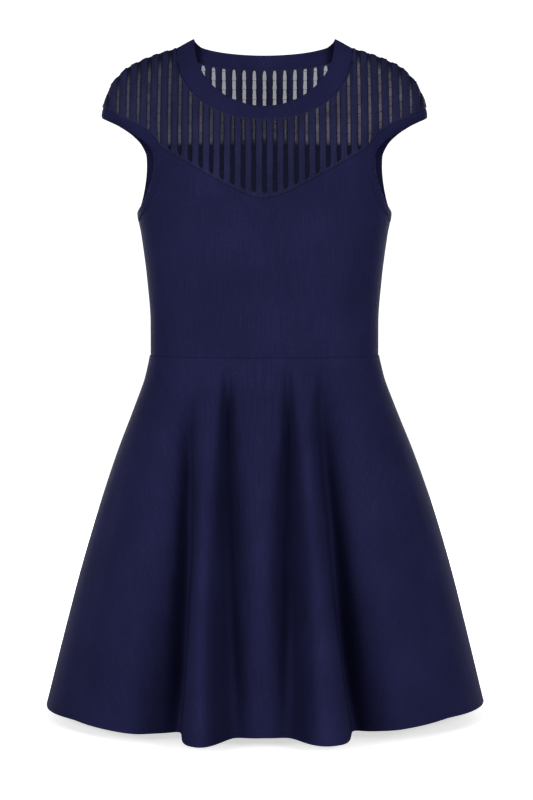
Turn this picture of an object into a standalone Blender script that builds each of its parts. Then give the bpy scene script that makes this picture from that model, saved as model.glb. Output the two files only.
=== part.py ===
"""Knitted A-line dress with cap sleeves and a striped yoke, filled out as if worn, with no wearer in it.

Metres, +Z up, the front towards -Y, the wearer's left at +X. The origin is where a wearer holds the dress
up: on the centre plane, level with the middle of the shoulder seams. The cloth is one closed form, cut into
the pieces that are knitted and linked together: two yokes, two bodice panels, two skirt panels and three
bands. Heights are given as drops, measured down from the neck point, where the neckline crosses the
shoulder seam.
"""

import math
from collections import namedtuple

import bmesh
import bpy
import numpy as np
from mathutils import Matrix

# ---- Driving sizes ---------------------------------------------------------------------------------------

NECK_POINT_HEIGHT = 0.018
WAIST_DROP = 0.386
HEM_DROP = 0.820
SEAM_GAP = 0.0003
ARMHOLE_SEAM_GAP = 0.0004

CLOTH_THICKNESS = 0.0015
BAND_THICKNESS = 0.0021
BAND_RISE = 0.0005
SHEER_THICKNESS = 0.0010
RIB_RISE = 0.0010

RIB_PITCH = 0.0127
SHEER_WIDTH = 0.0064
RIB_SHOULDER = 0.0012
SHEER_STRIPES_EACH_SIDE = 15
YOKE_MARGIN = 0.0080
YOKE_RIM = 0.04

FRONT_YOKE_POINT_DROP = 0.193
FRONT_YOKE_SLOPE = 0.605
FRONT_YOKE_ROUNDING = 0.025
BACK_YOKE_DROP = 0.121

WAIST_STEP = 0.0010
WAIST_STEP_HEIGHT = 0.012

# Grids: where the rows lie down a piece, as shares of its length, and how many columns it has.
YOKE_ROWS = (0, 0.06, 0.17, 0.36, 0.66, 1)
BODICE_ROWS = (0, 0.05, 0.12, 0.24, 0.38, 0.54, 0.70, 0.86, 1)
SKIRT_ROWS = (0, 0.028, 0.08, 0.16, 0.26, 0.38, 0.51, 0.64, 0.76, 0.88, 1)
BAND_ROWS = (0, 0.5, 1)
BODICE_COLUMNS_BESIDE_ARMHOLE = 11
BODICE_COLUMN_LEAN = math.radians(5)
SKIRT_COLUMNS_PER_FOLD_LINE_IN_FRONT = 3
SKIRT_COLUMNS_PER_FOLD_LINE_BEHIND = 4

# ---- The form: level sections of the torso and of the skirt ----------------------------------------------

Ring = namedtuple("Ring", "drop half_width front_depth back_depth squareness")

TORSO = (
    Ring(0.000, 0.0860, 0.002, 0.034, 1.50),
    Ring(0.008, 0.1055, 0.014, 0.046, 1.60),
    Ring(0.015, 0.1285, 0.022, 0.055, 1.70),
    Ring(0.022, 0.1470, 0.028, 0.060, 1.80),
    Ring(0.033, 0.1680, 0.036, 0.066, 1.95),
    Ring(0.052, 0.1860, 0.047, 0.076, 2.15),
    Ring(0.075, 0.1955, 0.058, 0.084, 2.28),
    Ring(0.093, 0.1990, 0.068, 0.090, 2.30),
    Ring(0.102, 0.1875, 0.074, 0.092, 2.30),
    Ring(0.112, 0.1750, 0.079, 0.094, 2.30),
    Ring(0.126, 0.1627, 0.086, 0.097, 2.30),
    Ring(0.140, 0.1567, 0.092, 0.099, 2.30),
    Ring(0.165, 0.1555, 0.102, 0.102, 2.30),
    Ring(0.208, 0.1555, 0.114, 0.102, 2.32),
    Ring(0.236, 0.1510, 0.118, 0.099, 2.35),
    Ring(0.290, 0.1440, 0.110, 0.091, 2.40),
    Ring(0.345, 0.1400, 0.098, 0.082, 2.40),
    Ring(0.386, 0.1400, 0.092, 0.079, 2.38),
)

SKIRT = (
    Ring(0.386, 0.1400, 0.092, 0.079, 2.38),
    Ring(0.411, 0.1470, 0.097, 0.086, 2.35),
    Ring(0.448, 0.1605, 0.109, 0.100, 2.30),
    Ring(0.503, 0.1815, 0.130, 0.122, 2.25),
    Ring(0.577, 0.2060, 0.155, 0.148, 2.18),
    Ring(0.651, 0.2275, 0.176, 0.170, 2.12),
    Ring(0.725, 0.2465, 0.194, 0.189, 2.08),
    Ring(0.820, 0.2700, 0.212, 0.208, 2.05),
)

# The lines along which the skirt folds. A turn is in degrees round the skirt, from the centre front towards
# the wearer's left; a rise stands out from the plain flare, and a negative one is a hollow.
FoldLine = namedtuple("FoldLine", "waist_turn hem_turn high_rise middle_rise hem_rise")
FOLD_HIGH_DROP = 0.446
FOLD_MIDDLE_DROP = 0.600

FOLDS = (
    FoldLine(-180, -178, 0.001, 0.006, 0.016),
    FoldLine(-162, -163, -0.003, -0.012, -0.024),
    FoldLine(-146, -148, 0.002, 0.015, 0.032),
    FoldLine(-132, -133, -0.002, -0.011, -0.024),
    FoldLine(-112, -115, 0.001, 0.009, 0.018),
    FoldLine(-90, -90, 0.000, 0.000, 0.000),
    FoldLine(-66, -60, 0.000, -0.002, -0.008),
    FoldLine(-47, -38, 0.001, 0.000, -0.006),
    FoldLine(-31, -24.8, -0.002, -0.012, -0.030),
    FoldLine(-25, -16.3, 0.001, 0.016, 0.047),
    FoldLine(-21.5, -13.6, 0.003, 0.021, 0.054),
    FoldLine(-18, -10.8, 0.001, 0.013, 0.045),
    FoldLine(-13, -8.4, -0.006, -0.008, 0.004),
    FoldLine(-2, 0, 0.003, 0.004, -0.008),
    FoldLine(8, 6.8, -0.005, -0.008, -0.003),
    FoldLine(11.5, 9.6, 0.000, 0.007, 0.032),
    FoldLine(15, 13, 0.003, 0.017, 0.045),
    FoldLine(19.5, 17.2, 0.001, 0.013, 0.038),
    FoldLine(25, 25.5, -0.005, -0.017, -0.034),
    FoldLine(40, 38, 0.001, -0.003, -0.012),
    FoldLine(64, 60, 0.001, 0.000, -0.010),
    FoldLine(90, 90, 0.001, 0.004, 0.001),
    FoldLine(110, 113, 0.001, 0.010, 0.020),
    FoldLine(127, 129, -0.002, -0.012, -0.026),
    FoldLine(142, 145, 0.002, 0.014, 0.030),
    FoldLine(160, 161, -0.002, -0.010, -0.020),
)

# ---- The openings: the edge of each, and the seam that joins its band to the cloth -----------------------

NeckEdge = namedtuple("NeckEdge", "half_width front_drop back_drop roundness")
NECK_OPENING = NeckEdge(0.0860, 0.0815, 0.0130, 2.0)
NECK_SEAM = NeckEdge(8.5 * RIB_PITCH, 0.0975, 0.0285, 2.15)

# A reach is how far the edge comes in at its widest, as an angle round the torso from the side seam. The
# roundness is that of the upper half, from the widest place to the cap's tip: 2 is an ellipse, and less is
# straighter.
ArmholeEdge = namedtuple(
    "ArmholeEdge",
    "top_drop bottom_drop front_reach back_reach front_widest back_widest front_roundness back_roundness",
)
ARM_OPENING = ArmholeEdge(
    0.0925, 0.2080, math.radians(33.7), math.radians(22.3), 0.138, 0.130, 1.45, 2.4
)
ARM_SEAM = ArmholeEdge(
    0.0815, 0.2205, math.radians(41.0), math.radians(29.0), 0.127, 0.121, 2.20, 2.2
)
ARMHOLE_LOWER_ROUNDNESS = 2.2
ARMHOLE_RADIUS = 0.13

FRONT, BACK = -1, 1
HALF_GAP = SEAM_GAP / 2
ARM_HALF_GAP = ARMHOLE_SEAM_GAP / 2

# How fine the work is: the steps along a worked-out curve, the span of drops that a normal is taken over,
# the distances at which points and places are one, and the angle from which an edge is shaded sharp.
FINE = 400
NORMAL_SMOOTHING = 0.005
SLOPE_STEP = 1e-4
SAME_POINT = 1e-5
SAME_PLACE = 1e-6
SHARP_EDGE = math.radians(50)

# The yokes' columns: from where the seams run so steeply that every column is shared, how far the column
# before the neck's or the cap's end lies from it, the least distance between two, the room beside a yoke's
# corner, how far round the armhole that corner is looked for, and the digits to which turns are compared.
STEEP_BY_NECK = 7.2 * RIB_PITCH
STEEP_BY_TIP = 12.9 * RIB_PITCH
END_COLUMN_STEP = 0.0009
LEAST_COLUMN_STEP = 0.0006
CORNER_CLEARANCE = 0.002
LOWEST_CORNER_TURN = math.radians(108)
TURN_DIGITS = 5

# Each band ends half a gap inside its seam, and the cloth that it joins starts half a gap outside.
NECK_BAND_EDGE = NECK_SEAM._replace(
    half_width=NECK_SEAM.half_width - HALF_GAP,
    front_drop=NECK_SEAM.front_drop - HALF_GAP,
    back_drop=NECK_SEAM.back_drop - HALF_GAP,
)
YOKE_NECK_EDGE = NECK_SEAM._replace(
    half_width=NECK_SEAM.half_width + HALF_GAP,
    front_drop=NECK_SEAM.front_drop + HALF_GAP,
    back_drop=NECK_SEAM.back_drop + HALF_GAP,
)
ARM_BAND_EDGE = ARM_SEAM._replace(
    top_drop=ARM_SEAM.top_drop + ARM_HALF_GAP,
    bottom_drop=ARM_SEAM.bottom_drop - ARM_HALF_GAP,
    front_reach=ARM_SEAM.front_reach - ARM_HALF_GAP / ARMHOLE_RADIUS,
    back_reach=ARM_SEAM.back_reach - ARM_HALF_GAP / ARMHOLE_RADIUS,
)
CLOTH_ARM_EDGE = ARM_SEAM._replace(
    top_drop=ARM_SEAM.top_drop - ARM_HALF_GAP,
    bottom_drop=ARM_SEAM.bottom_drop + ARM_HALF_GAP,
    front_reach=ARM_SEAM.front_reach + ARM_HALF_GAP / ARMHOLE_RADIUS,
    back_reach=ARM_SEAM.back_reach + ARM_HALF_GAP / ARMHOLE_RADIUS,
)


def smooth_curve(stations, values):
    """A function through the values that is smooth and never swings past them."""
    stations, values = np.asarray(stations, float), np.asarray(values, float)
    width = np.diff(stations)
    slope = np.diff(values) / width
    tangent = np.concatenate([slope[:1], np.zeros(len(slope) - 1), slope[-1:]])
    for i in np.flatnonzero(slope[:-1] * slope[1:] > 0):
        before, after = 2 * width[i + 1] + width[i], width[i + 1] + 2 * width[i]
        tangent[i + 1] = (before + after) / (before / slope[i] + after / slope[i + 1])

    def curve(at):
        at = np.clip(at, stations[0], stations[-1])
        i = np.clip(np.searchsorted(stations, at, side="right") - 1, 0, len(width) - 1)
        h, t = width[i], (at - stations[i]) / width[i]
        rise = values[i] * (1 + 2 * t) * (1 - t) ** 2 + values[i + 1] * t * t * (3 - 2 * t)
        return rise + h * (tangent[i] * t * (1 - t) ** 2 - tangent[i + 1] * t * t * (1 - t))

    return curve


def curves_of(rings):
    """One smooth curve down the rings for each of their columns after the drop."""
    drops = [ring.drop for ring in rings]
    return [smooth_curve(drops, [ring[column] for ring in rings]) for column in range(1, len(rings[0]))]


torso_half_width, torso_front, torso_back, torso_squareness = curves_of(TORSO)
skirt_half_width, skirt_front, skirt_back, skirt_squareness = curves_of(SKIRT)


def located(x, y, drop):
    """Points of the dress from their drops."""
    x, y, drop = np.broadcast_arrays(x, y, drop)
    return np.stack([x, y, NECK_POINT_HEIGHT - drop], axis=-1)


# ---- The torso's surface ---------------------------------------------------------------------------------


def torso_depth(x, drop, side):
    """The y of the torso's front or back at this x and drop."""
    squareness = torso_squareness(drop)
    share = np.clip(1 - (np.abs(x) / torso_half_width(drop)) ** squareness, 0, 1)
    depth = torso_front(drop) if side == FRONT else torso_back(drop)
    return side * depth * share ** (1 / squareness)


def torso_at(reach, drop, side):
    """Points of the torso at an angle round its level section, from the left side seam to front or back."""
    power = 2 / torso_squareness(drop)
    depth = np.where(side == FRONT, torso_front(drop), torso_back(drop))
    along, out = np.cos(reach), np.clip(np.sin(reach), 0, 1)
    x = torso_half_width(drop) * np.sign(along) * np.abs(along) ** power
    return located(x, side * depth * out**power, drop)


def reach_of(x, drop):
    """The angle from the left side seam at which the torso's level section has this x."""
    share = np.clip(np.abs(x) / torso_half_width(drop), 0, 1) ** (torso_squareness(drop) / 2)
    return np.arccos(np.sign(x) * share)


def torso_normals(points):
    """Outward normals: the slope of a function that has one value all over the torso."""
    x, y, drop = points[..., 0], points[..., 1], NECK_POINT_HEIGHT - points[..., 2]
    depth_of = {FRONT: torso_front, BACK: torso_back}

    def level(x, y, drop):
        squareness = torso_squareness(drop)
        depth = np.where(y < 0, depth_of[FRONT](drop), depth_of[BACK](drop))
        return (np.abs(x) / torso_half_width(drop)) ** squareness + (np.abs(y) / depth) ** squareness

    above, below = np.maximum(drop - NORMAL_SMOOTHING, 0), drop + NORMAL_SMOOTHING
    slopes = (
        (level(x + SLOPE_STEP, y, drop) - level(x - SLOPE_STEP, y, drop)) / (2 * SLOPE_STEP),
        (level(x, y + SLOPE_STEP, drop) - level(x, y - SLOPE_STEP, drop)) / (2 * SLOPE_STEP),
        (level(x, y, above) - level(x, y, below)) / (below - above),
    )
    normals = np.stack(slopes, axis=-1)
    return normals / np.linalg.norm(normals, axis=-1, keepdims=True)


SHOULDER_DROPS = np.linspace(0, ARM_OPENING.top_drop, FINE)
SHOULDER_WIDTHS = torso_half_width(SHOULDER_DROPS)


def shoulder_drop(x):
    """The drop of the shoulder seam, along the top of the torso, at this x."""
    return np.interp(np.abs(x), SHOULDER_WIDTHS, SHOULDER_DROPS)


# ---- The seam lines --------------------------------------------------------------------------------------


def neck_drop(edge, x, side):
    """The drop at which a neck edge crosses this x, on the front or on the back."""
    top = shoulder_drop(edge.half_width)
    lowest = edge.front_drop if side == FRONT else edge.back_drop
    share = np.clip(1 - (np.abs(x) / edge.half_width) ** edge.roundness, 0, 1)
    return top + (lowest - top) * share ** (1 / edge.roundness)


def neck_loop(edge, shares):
    """Points round a neck edge at these shares of its half width, over the front, then along the back."""
    x = np.asarray(shares) * edge.half_width
    front = neck_drop(edge, x, FRONT)
    back = neck_drop(edge, x, BACK)
    over_front = located(x, torso_depth(x, front, FRONT), front)
    over_back = located(x, torso_depth(x, back, BACK), back)
    return np.concatenate([over_front, over_back[-2:0:-1]])


def armhole_loop(edge, turns):
    """Points round the left armhole. Turns run from the cap's tip down the front; negative ones, the back."""
    up, out = np.cos(turns), np.abs(np.sin(turns))
    side = np.where(np.asarray(turns) >= 0, FRONT, BACK)
    widest = np.where(side == FRONT, edge.front_widest, edge.back_widest)
    end = np.where(up > 0, edge.top_drop, edge.bottom_drop)
    upper_roundness = np.where(side == FRONT, edge.front_roundness, edge.back_roundness)
    power = 2 / np.where(up > 0, upper_roundness, ARMHOLE_LOWER_ROUNDNESS)
    drop = widest + (end - widest) * np.abs(up) ** power
    reach = out**power * np.where(side == FRONT, edge.front_reach, edge.back_reach)
    return torso_at(reach, drop, side)


def front_yoke_drop(x):
    """The drop of the front yoke's lower edge: a V with a rounded point."""
    rise = np.hypot(x, FRONT_YOKE_ROUNDING) - FRONT_YOKE_ROUNDING
    return FRONT_YOKE_POINT_DROP - FRONT_YOKE_SLOPE * rise


def back_yoke_drop(x):
    """The drop of the back yoke's lower edge: straight across."""
    return np.full_like(np.asarray(x, float), BACK_YOKE_DROP)


YOKE_LOWER_EDGE = {FRONT: front_yoke_drop, BACK: back_yoke_drop}
YOKE_EDGE_GAP = {FRONT: HALF_GAP * math.hypot(1, FRONT_YOKE_SLOPE), BACK: HALF_GAP}


def drops_of(points):
    return NECK_POINT_HEIGHT - points[..., 2]


def yoke_corner_turn(side, gap=0.0):
    """How far round from the cap's tip the yoke's lower edge, moved down by a gap, meets the armhole."""
    turns = np.linspace(0, LOWEST_CORNER_TURN, FINE)
    seam = armhole_loop(CLOTH_ARM_EDGE, -side * turns)
    below_edge = drops_of(seam) - YOKE_LOWER_EDGE[side](seam[:, 0]) - gap
    return np.interp(0, below_edge, turns)


# ---- Making a wall of cloth ------------------------------------------------------------------------------


def cloth_material(name, colour, roughness, alpha=1.0):
    material = bpy.data.materials.new(name)
    material.use_nodes = True
    shader = material.node_tree.nodes["Principled BSDF"]
    shader.inputs["Base Color"].default_value = (*colour, 1.0)
    shader.inputs["Roughness"].default_value = roughness
    shader.inputs["Metallic"].default_value = 0.0
    shader.inputs["Alpha"].default_value = alpha
    material.diffuse_color = (*colour, alpha)
    return material


def wall(name, outer, inner, shared=None, closed=False):
    """One closed wall of cloth between two grids of points, [column][row], outside and inside.

    The inside may have fewer columns: `shared` then lists the outside's columns that it has. A closed wall
    joins its last column to its first.
    """
    mesh = bmesh.new()
    outside = [[mesh.verts.new(point) for point in column] for column in outer]
    inside = [[mesh.verts.new(point) for point in column] for column in inner]
    shared = list(range(len(outside))) if shared is None else [int(column) for column in shared]
    rows = range(len(outer[0]) - 1)
    if closed:
        outside.append(outside[0])
        inside.append(inside[0])
        shared.append(len(outside) - 1)

    def skin(grid, turned):
        for left, right in zip(grid, grid[1:]):
            for row in rows:
                corners = (left[row], left[row + 1], right[row + 1], right[row])
                mesh.faces.new(corners[::-1] if turned else corners)

    skin(outside, turned=False)
    skin(inside, turned=True)
    for k, (first, last) in enumerate(zip(shared, shared[1:])):
        edge = outside[first : last + 1]
        mesh.faces.new([column[0] for column in edge] + [inside[k + 1][0], inside[k][0]])
        mesh.faces.new([column[-1] for column in reversed(edge)] + [inside[k][-1], inside[k + 1][-1]])
    if not closed:
        for row in rows:
            for out_column, in_column in ((outside[0], inside[0]), (inside[-1], outside[-1])):
                mesh.faces.new((out_column[row], in_column[row], in_column[row + 1], out_column[row + 1]))
    bmesh.ops.remove_doubles(mesh, verts=mesh.verts, dist=SAME_POINT)
    bmesh.ops.dissolve_degenerate(mesh, edges=mesh.edges, dist=SAME_PLACE)
    bmesh.ops.recalc_face_normals(mesh, faces=mesh.faces)
    data = bpy.data.meshes.new(name)
    mesh.to_mesh(data)
    mesh.free()
    data.shade_smooth()
    data.set_sharp_from_angle(angle=SHARP_EDGE)
    piece = bpy.data.objects.new(name, data)
    bpy.context.scene.collection.objects.link(piece)
    return piece


def flattened(grid, like):
    """A grid's inside points brought level with the outside ones at its waist or hem."""
    grid = grid.copy()
    grid[:, -1, 2] = like[:, -1, 2]
    return grid


def kept_to_side(points, side):
    """Points of a front or back piece, kept half a gap from the plane of the side and shoulder seams."""
    points = points.copy()
    points[..., 1] = side * np.maximum(side * points[..., 1], HALF_GAP)
    return points


# ---- Yokes -----------------------------------------------------------------------------------------------

CAP_TIP = armhole_loop(CLOTH_ARM_EDGE, np.array([0.0]))[0, 0]


def yoke_corner(side):
    """The x at which the yoke's lower edge meets the armhole."""
    return armhole_loop(CLOTH_ARM_EDGE, np.array([-side * yoke_corner_turn(side)]))[0, 0]


def rib_height(x):
    """How far the yoke's outside stands out at this x: the full rise on a rib, nothing on a sheer stripe."""
    from_stripe = np.abs((np.asarray(x) + RIB_PITCH / 2) % RIB_PITCH - RIB_PITCH / 2)
    return RIB_RISE * np.clip((from_stripe - SHEER_WIDTH / 2) / RIB_SHOULDER, 0, 1)


def yoke_columns(side):
    """The x of each column of a yoke, and whether the inside and the neighbouring pieces share it.

    The columns lie at the foot and at the crown of each rib. One crown of each rib is shared, two of them
    beside the armhole, and so is every column where a seam runs steeply: by the neck and at the cap's tip.
    """
    foot, crown = SHEER_WIDTH / 2, SHEER_WIDTH / 2 + RIB_SHOULDER
    neck_end, corner = YOKE_NECK_EDGE.half_width, yoke_corner(side)
    ends = (neck_end - END_COLUMN_STEP, neck_end, corner, CAP_TIP - END_COLUMN_STEP, CAP_TIP)
    places = dict.fromkeys(ends, True)
    for stripe in range(SHEER_STRIPES_EACH_SIDE + 1):
        for from_stripe in (-crown, -foot, foot, crown):
            x = stripe * RIB_PITCH + from_stripe
            if x > 0 and min(abs(x - place) for place in places) > LEAST_COLUMN_STEP:
                by_neck = STEEP_BY_NECK < x < neck_end
                beside_armhole = x > corner and abs(from_stripe) == crown
                places[x] = from_stripe == crown or by_neck or beside_armhole or x > STEEP_BY_TIP
    right = sorted(places)
    xs = np.array([-x for x in reversed(right)] + right)
    return xs, np.array([places[abs(x)] for x in xs])


def armhole_drop(x, side):
    """The drop at which the armhole's seam crosses this x, between the cap's tip and the yoke's corner."""
    turns = np.linspace(0, yoke_corner_turn(side, -YOKE_EDGE_GAP[side]), FINE)
    seam = armhole_loop(CLOTH_ARM_EDGE, -side * turns)
    return np.interp(-np.abs(x), -seam[:, 0], drops_of(seam))


def yoke_ends(xs, side):
    """The top and bottom drops of a yoke's columns."""
    on_neck = np.abs(xs) < YOKE_NECK_EDGE.half_width
    top = np.where(on_neck, neck_drop(YOKE_NECK_EDGE, xs, side), shoulder_drop(xs))
    lower_edge = YOKE_LOWER_EDGE[side](xs) - YOKE_EDGE_GAP[side]
    bottom = np.where(np.abs(xs) < yoke_corner(side) - SAME_PLACE, lower_edge, armhole_drop(xs, side))
    return top, bottom


def straight_between(xs, shared_xs, values):
    """Values for every column, on straight lines between those of the shared columns."""
    return np.stack([np.interp(xs, shared_xs, values[:, axis]) for axis in range(3)], axis=-1)


def yoke(name, side):
    """A yoke: upright columns from the neck band or shoulder seam to the lower edge or the armhole.

    Below its striped rows a yoke ends in a plain margin, which is a thin rim where it meets the armhole.
    """
    xs, shared = yoke_columns(side)
    grid, heights = [], []
    for x, top, bottom in zip(xs, *yoke_ends(xs, side)):
        drops = top + (bottom - top) * np.linspace(0, 1, FINE) ** 2
        path = located(x, torso_depth(x, drops, side), drops)
        length = np.concatenate([[0], np.cumsum(np.linalg.norm(np.diff(path, axis=0), axis=1))])
        margin = YOKE_MARGIN if abs(x) <= yoke_corner(side) else min(YOKE_MARGIN, YOKE_RIM * length[-1])
        striped = length[-1] - margin - min(RIB_SHOULDER, margin)
        at = np.concatenate([striped * np.array(YOKE_ROWS), [length[-1] - margin, length[-1]]])
        row_drops = np.interp(at, length, drops)
        grid.append(located(x, torso_depth(x, row_drops, side), row_drops))
        heights.append([rib_height(x)] * len(YOKE_ROWS) + [RIB_RISE, RIB_RISE])
    surface = kept_to_side(np.array(grid), side)
    normals = torso_normals(surface)
    for row in (0, -1):
        surface[:, row] = straight_between(xs, xs[shared], surface[shared, row])
        normals[:, row] = straight_between(xs, xs[shared], normals[shared, row])
    outer = kept_to_side(surface + normals * np.array(heights)[..., None], side)
    inner = kept_to_side(surface - normals * SHEER_THICKNESS, side)
    return wall(name, outer, inner[shared], np.flatnonzero(shared))


# ---- Bodice ----------------------------------------------------------------------------------------------


def bodice_armhole_turns(side):
    """Turns down one side of the armhole, from the yoke's corner to the underarm."""
    corner = yoke_corner_turn(side, YOKE_EDGE_GAP[side])
    return np.linspace(corner, math.pi, BODICE_COLUMNS_BESIDE_ARMHOLE + 1)


def bodice(name, side):
    """A bodice panel: columns from the armholes and the yoke's edge down to the waist."""
    turns = bodice_armhole_turns(side)[::-1]
    beside = armhole_loop(CLOTH_ARM_EDGE, -side * turns)
    xs, shared = yoke_columns(side)
    xs = xs[shared]
    xs = xs[np.abs(xs) < yoke_corner(side) - CORNER_CLEARANCE][::-1]
    edge = YOKE_LOWER_EDGE[side](xs) + YOKE_EDGE_GAP[side]
    reach_beside = reach_of(beside[:, 0], drops_of(beside))
    reach_edge = reach_of(xs, edge)
    top_reach = np.concatenate([reach_beside, reach_edge, math.pi - reach_beside[::-1]])
    top_drop = np.concatenate([drops_of(beside), edge, drops_of(beside)[::-1]])
    corner, foot = reach_beside[-1], reach_beside[-1] + BODICE_COLUMN_LEAN
    spread = np.linspace(0, foot, len(turns))
    squeeze = (math.pi / 2 - foot) / (math.pi / 2 - corner)
    foot_edge = math.pi / 2 + (reach_edge - math.pi / 2) * squeeze
    foot_reach = np.concatenate([spread, foot_edge, math.pi - spread[::-1]])
    rows = np.array(BODICE_ROWS)
    reach = top_reach[:, None] + (foot_reach - top_reach)[:, None] * rows
    drop = top_drop[:, None] + (WAIST_DROP - HALF_GAP - top_drop)[:, None] * rows
    surface = kept_to_side(torso_at(reach, drop, side), side)
    inner = kept_to_side(surface - torso_normals(surface) * CLOTH_THICKNESS, side)
    return wall(name, surface, flattened(inner, surface))


# ---- Bands -----------------------------------------------------------------------------------------------


def between(first, last, share):
    """The edge that lies at this share of the way between two edges of one opening."""
    return type(first)(*(a + (b - a) * share for a, b in zip(first, last)))


def band(name, loops):
    """A closed band over the torso, from loops of points that run round it."""
    surface = np.stack(loops, axis=1)
    normals = torso_normals(surface)
    outer = surface + normals * BAND_RISE
    return wall(name, outer, outer - normals * BAND_THICKNESS, closed=True)


def neck_band():
    xs, shared = yoke_columns(FRONT)
    xs = xs[shared]
    shares = xs[np.abs(xs) < YOKE_NECK_EDGE.half_width + SAME_PLACE] / YOKE_NECK_EDGE.half_width
    edges = [between(NECK_OPENING, NECK_BAND_EDGE, share) for share in BAND_ROWS]
    return band("neck_band", [neck_loop(edge, shares) for edge in edges])


def armhole_turns():
    """Every turn round the armhole at which a piece that joins its band has a column."""
    turns = []
    for side in (FRONT, BACK):
        xs, shared = yoke_columns(side)
        xs = xs[shared & (xs > yoke_corner(side) + CORNER_CLEARANCE)]
        along = np.linspace(0, yoke_corner_turn(side), FINE)
        seam = armhole_loop(CLOTH_ARM_EDGE, -side * along)
        on_yoke = np.interp(-xs, -seam[:, 0], along)
        on_bodice = bodice_armhole_turns(side)
        down = np.unique(np.round(np.concatenate([on_yoke, on_bodice]), TURN_DIGITS))
        turns.append(-side * down)
    front, back = turns
    return np.concatenate([front, back[::-1][1:-1]])


def armhole_band(name, mirrored):
    turns = armhole_turns()
    edges = [between(ARM_OPENING, ARM_BAND_EDGE, share) for share in BAND_ROWS]
    piece = band(name, [armhole_loop(edge, turns) for edge in edges])
    if mirrored:
        piece.data.transform(Matrix.Scale(-1, 4, (1, 0, 0)))
        piece.data.flip_normals()
    return piece


# ---- Skirt -----------------------------------------------------------------------------------------------


def fold_lines(drop):
    """The turn of each fold line at this drop."""
    down = (drop - WAIST_DROP) / (HEM_DROP - WAIST_DROP)
    return np.array([fold.waist_turn + (fold.hem_turn - fold.waist_turn) * down for fold in FOLDS])


def fold_rise(turn, drop):
    """How far the skirt stands out from its plain flare, at turns in degrees along one level."""
    lines = fold_lines(drop)
    depths = (WAIST_DROP, FOLD_HIGH_DROP, FOLD_MIDDLE_DROP, HEM_DROP)
    rises_down = [(0, fold.high_rise, fold.middle_rise, fold.hem_rise) for fold in FOLDS]
    rises = [smooth_curve(depths, rise_down)(drop) for rise_down in rises_down]
    return smooth_curve(np.concatenate([lines - 360, lines, lines + 360]), np.tile(rises, 3))(turn)


def skirt_turns(side, drop):
    """The turns of the columns of one half of the skirt at this drop, from seam to seam."""
    first, last = (-90, 90) if side == FRONT else (90, 270)
    lines = np.concatenate([fold_lines(drop), fold_lines(drop) + 360])
    lines = lines[(lines >= first) & (lines <= last)]
    each = SKIRT_COLUMNS_PER_FOLD_LINE_IN_FRONT if side == FRONT else SKIRT_COLUMNS_PER_FOLD_LINE_BEHIND
    steps = np.arange((len(lines) - 1) * each + 1) / each
    return np.interp(steps, np.arange(len(lines)), lines)


def skirt_level(side, drop):
    """Points along one level of one half of the skirt, with its folds."""
    turn = skirt_turns(side, drop)
    angle = np.radians(turn)
    squareness = skirt_squareness(drop)
    power = 2 / squareness
    depth = skirt_front(drop) if side == FRONT else skirt_back(drop)
    along, out = np.sin(angle), np.abs(np.cos(angle))
    x = skirt_half_width(drop) * np.sign(along) * np.abs(along) ** power
    y = side * depth * out**power
    slope_x = np.sign(x) * np.abs(x) ** (squareness - 1) / skirt_half_width(drop) ** squareness
    slope_y = side * np.abs(y) ** (squareness - 1) / depth**squareness
    steepness = np.hypot(slope_x, slope_y)
    step = WAIST_STEP * np.clip(1 - (drop - WAIST_DROP) / WAIST_STEP_HEIGHT, 0, 1)
    rise = fold_rise(turn, drop) + step
    return located(x + rise * slope_x / steepness, y + rise * slope_y / steepness, drop)


def skirt(name, side):
    top = WAIST_DROP + HALF_GAP
    drops = top + (HEM_DROP - top) * np.array(SKIRT_ROWS)
    outer = kept_to_side(np.stack([skirt_level(side, drop) for drop in drops], axis=1), side)
    normals = np.cross(np.gradient(outer, axis=0), np.gradient(outer, axis=1))
    outwards = np.sign(np.sum(normals * outer * (1, 1, 0)))
    normals *= outwards / np.linalg.norm(normals, axis=-1, keepdims=True)
    inner = outer - normals * CLOTH_THICKNESS
    inner[:, 0, 2] = outer[:, 0, 2]
    inner[[0, -1], :, 1] = outer[[0, -1], :, 1]
    return wall(name, outer, flattened(kept_to_side(inner, side), outer))


# ---- The dress -------------------------------------------------------------------------------------------


def build():
    for thing in list(bpy.data.objects):
        bpy.data.objects.remove(thing, do_unlink=True)
    pieces = [
        yoke("yoke_front", FRONT),
        yoke("yoke_back", BACK),
        bodice("bodice_front", FRONT),
        bodice("bodice_back", BACK),
        skirt("skirt_front", FRONT),
        skirt("skirt_back", BACK),
        neck_band(),
        armhole_band("armhole_band_left", mirrored=False),
        armhole_band("armhole_band_right", mirrored=True),
    ]
    for piece in pieces:
        ribbed = piece.name.startswith("yoke")
        colour = (0.016, 0.015, 0.050) if ribbed else (0.014, 0.013, 0.045)
        piece.data.materials.append(cloth_material(piece.name + "_knit", colour, 0.8))


build()
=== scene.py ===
# %% [markdown]
# # A knitted A-line dress, filled out as if worn
#
# The packed model holds the dress as rigid walls of cloth: two yokes, two bodice panels, two skirt panels and
# three bands. This lesson dresses it. Each wall is replaced by a finer shell of the same form, with the ribs,
# net stripes, rolled edges and small creases that knitted cloth has, and each gets a knit material.
# Everything is in metres, with Z up, the front of the dress towards -Y and the wearer's left at +X.

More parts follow.
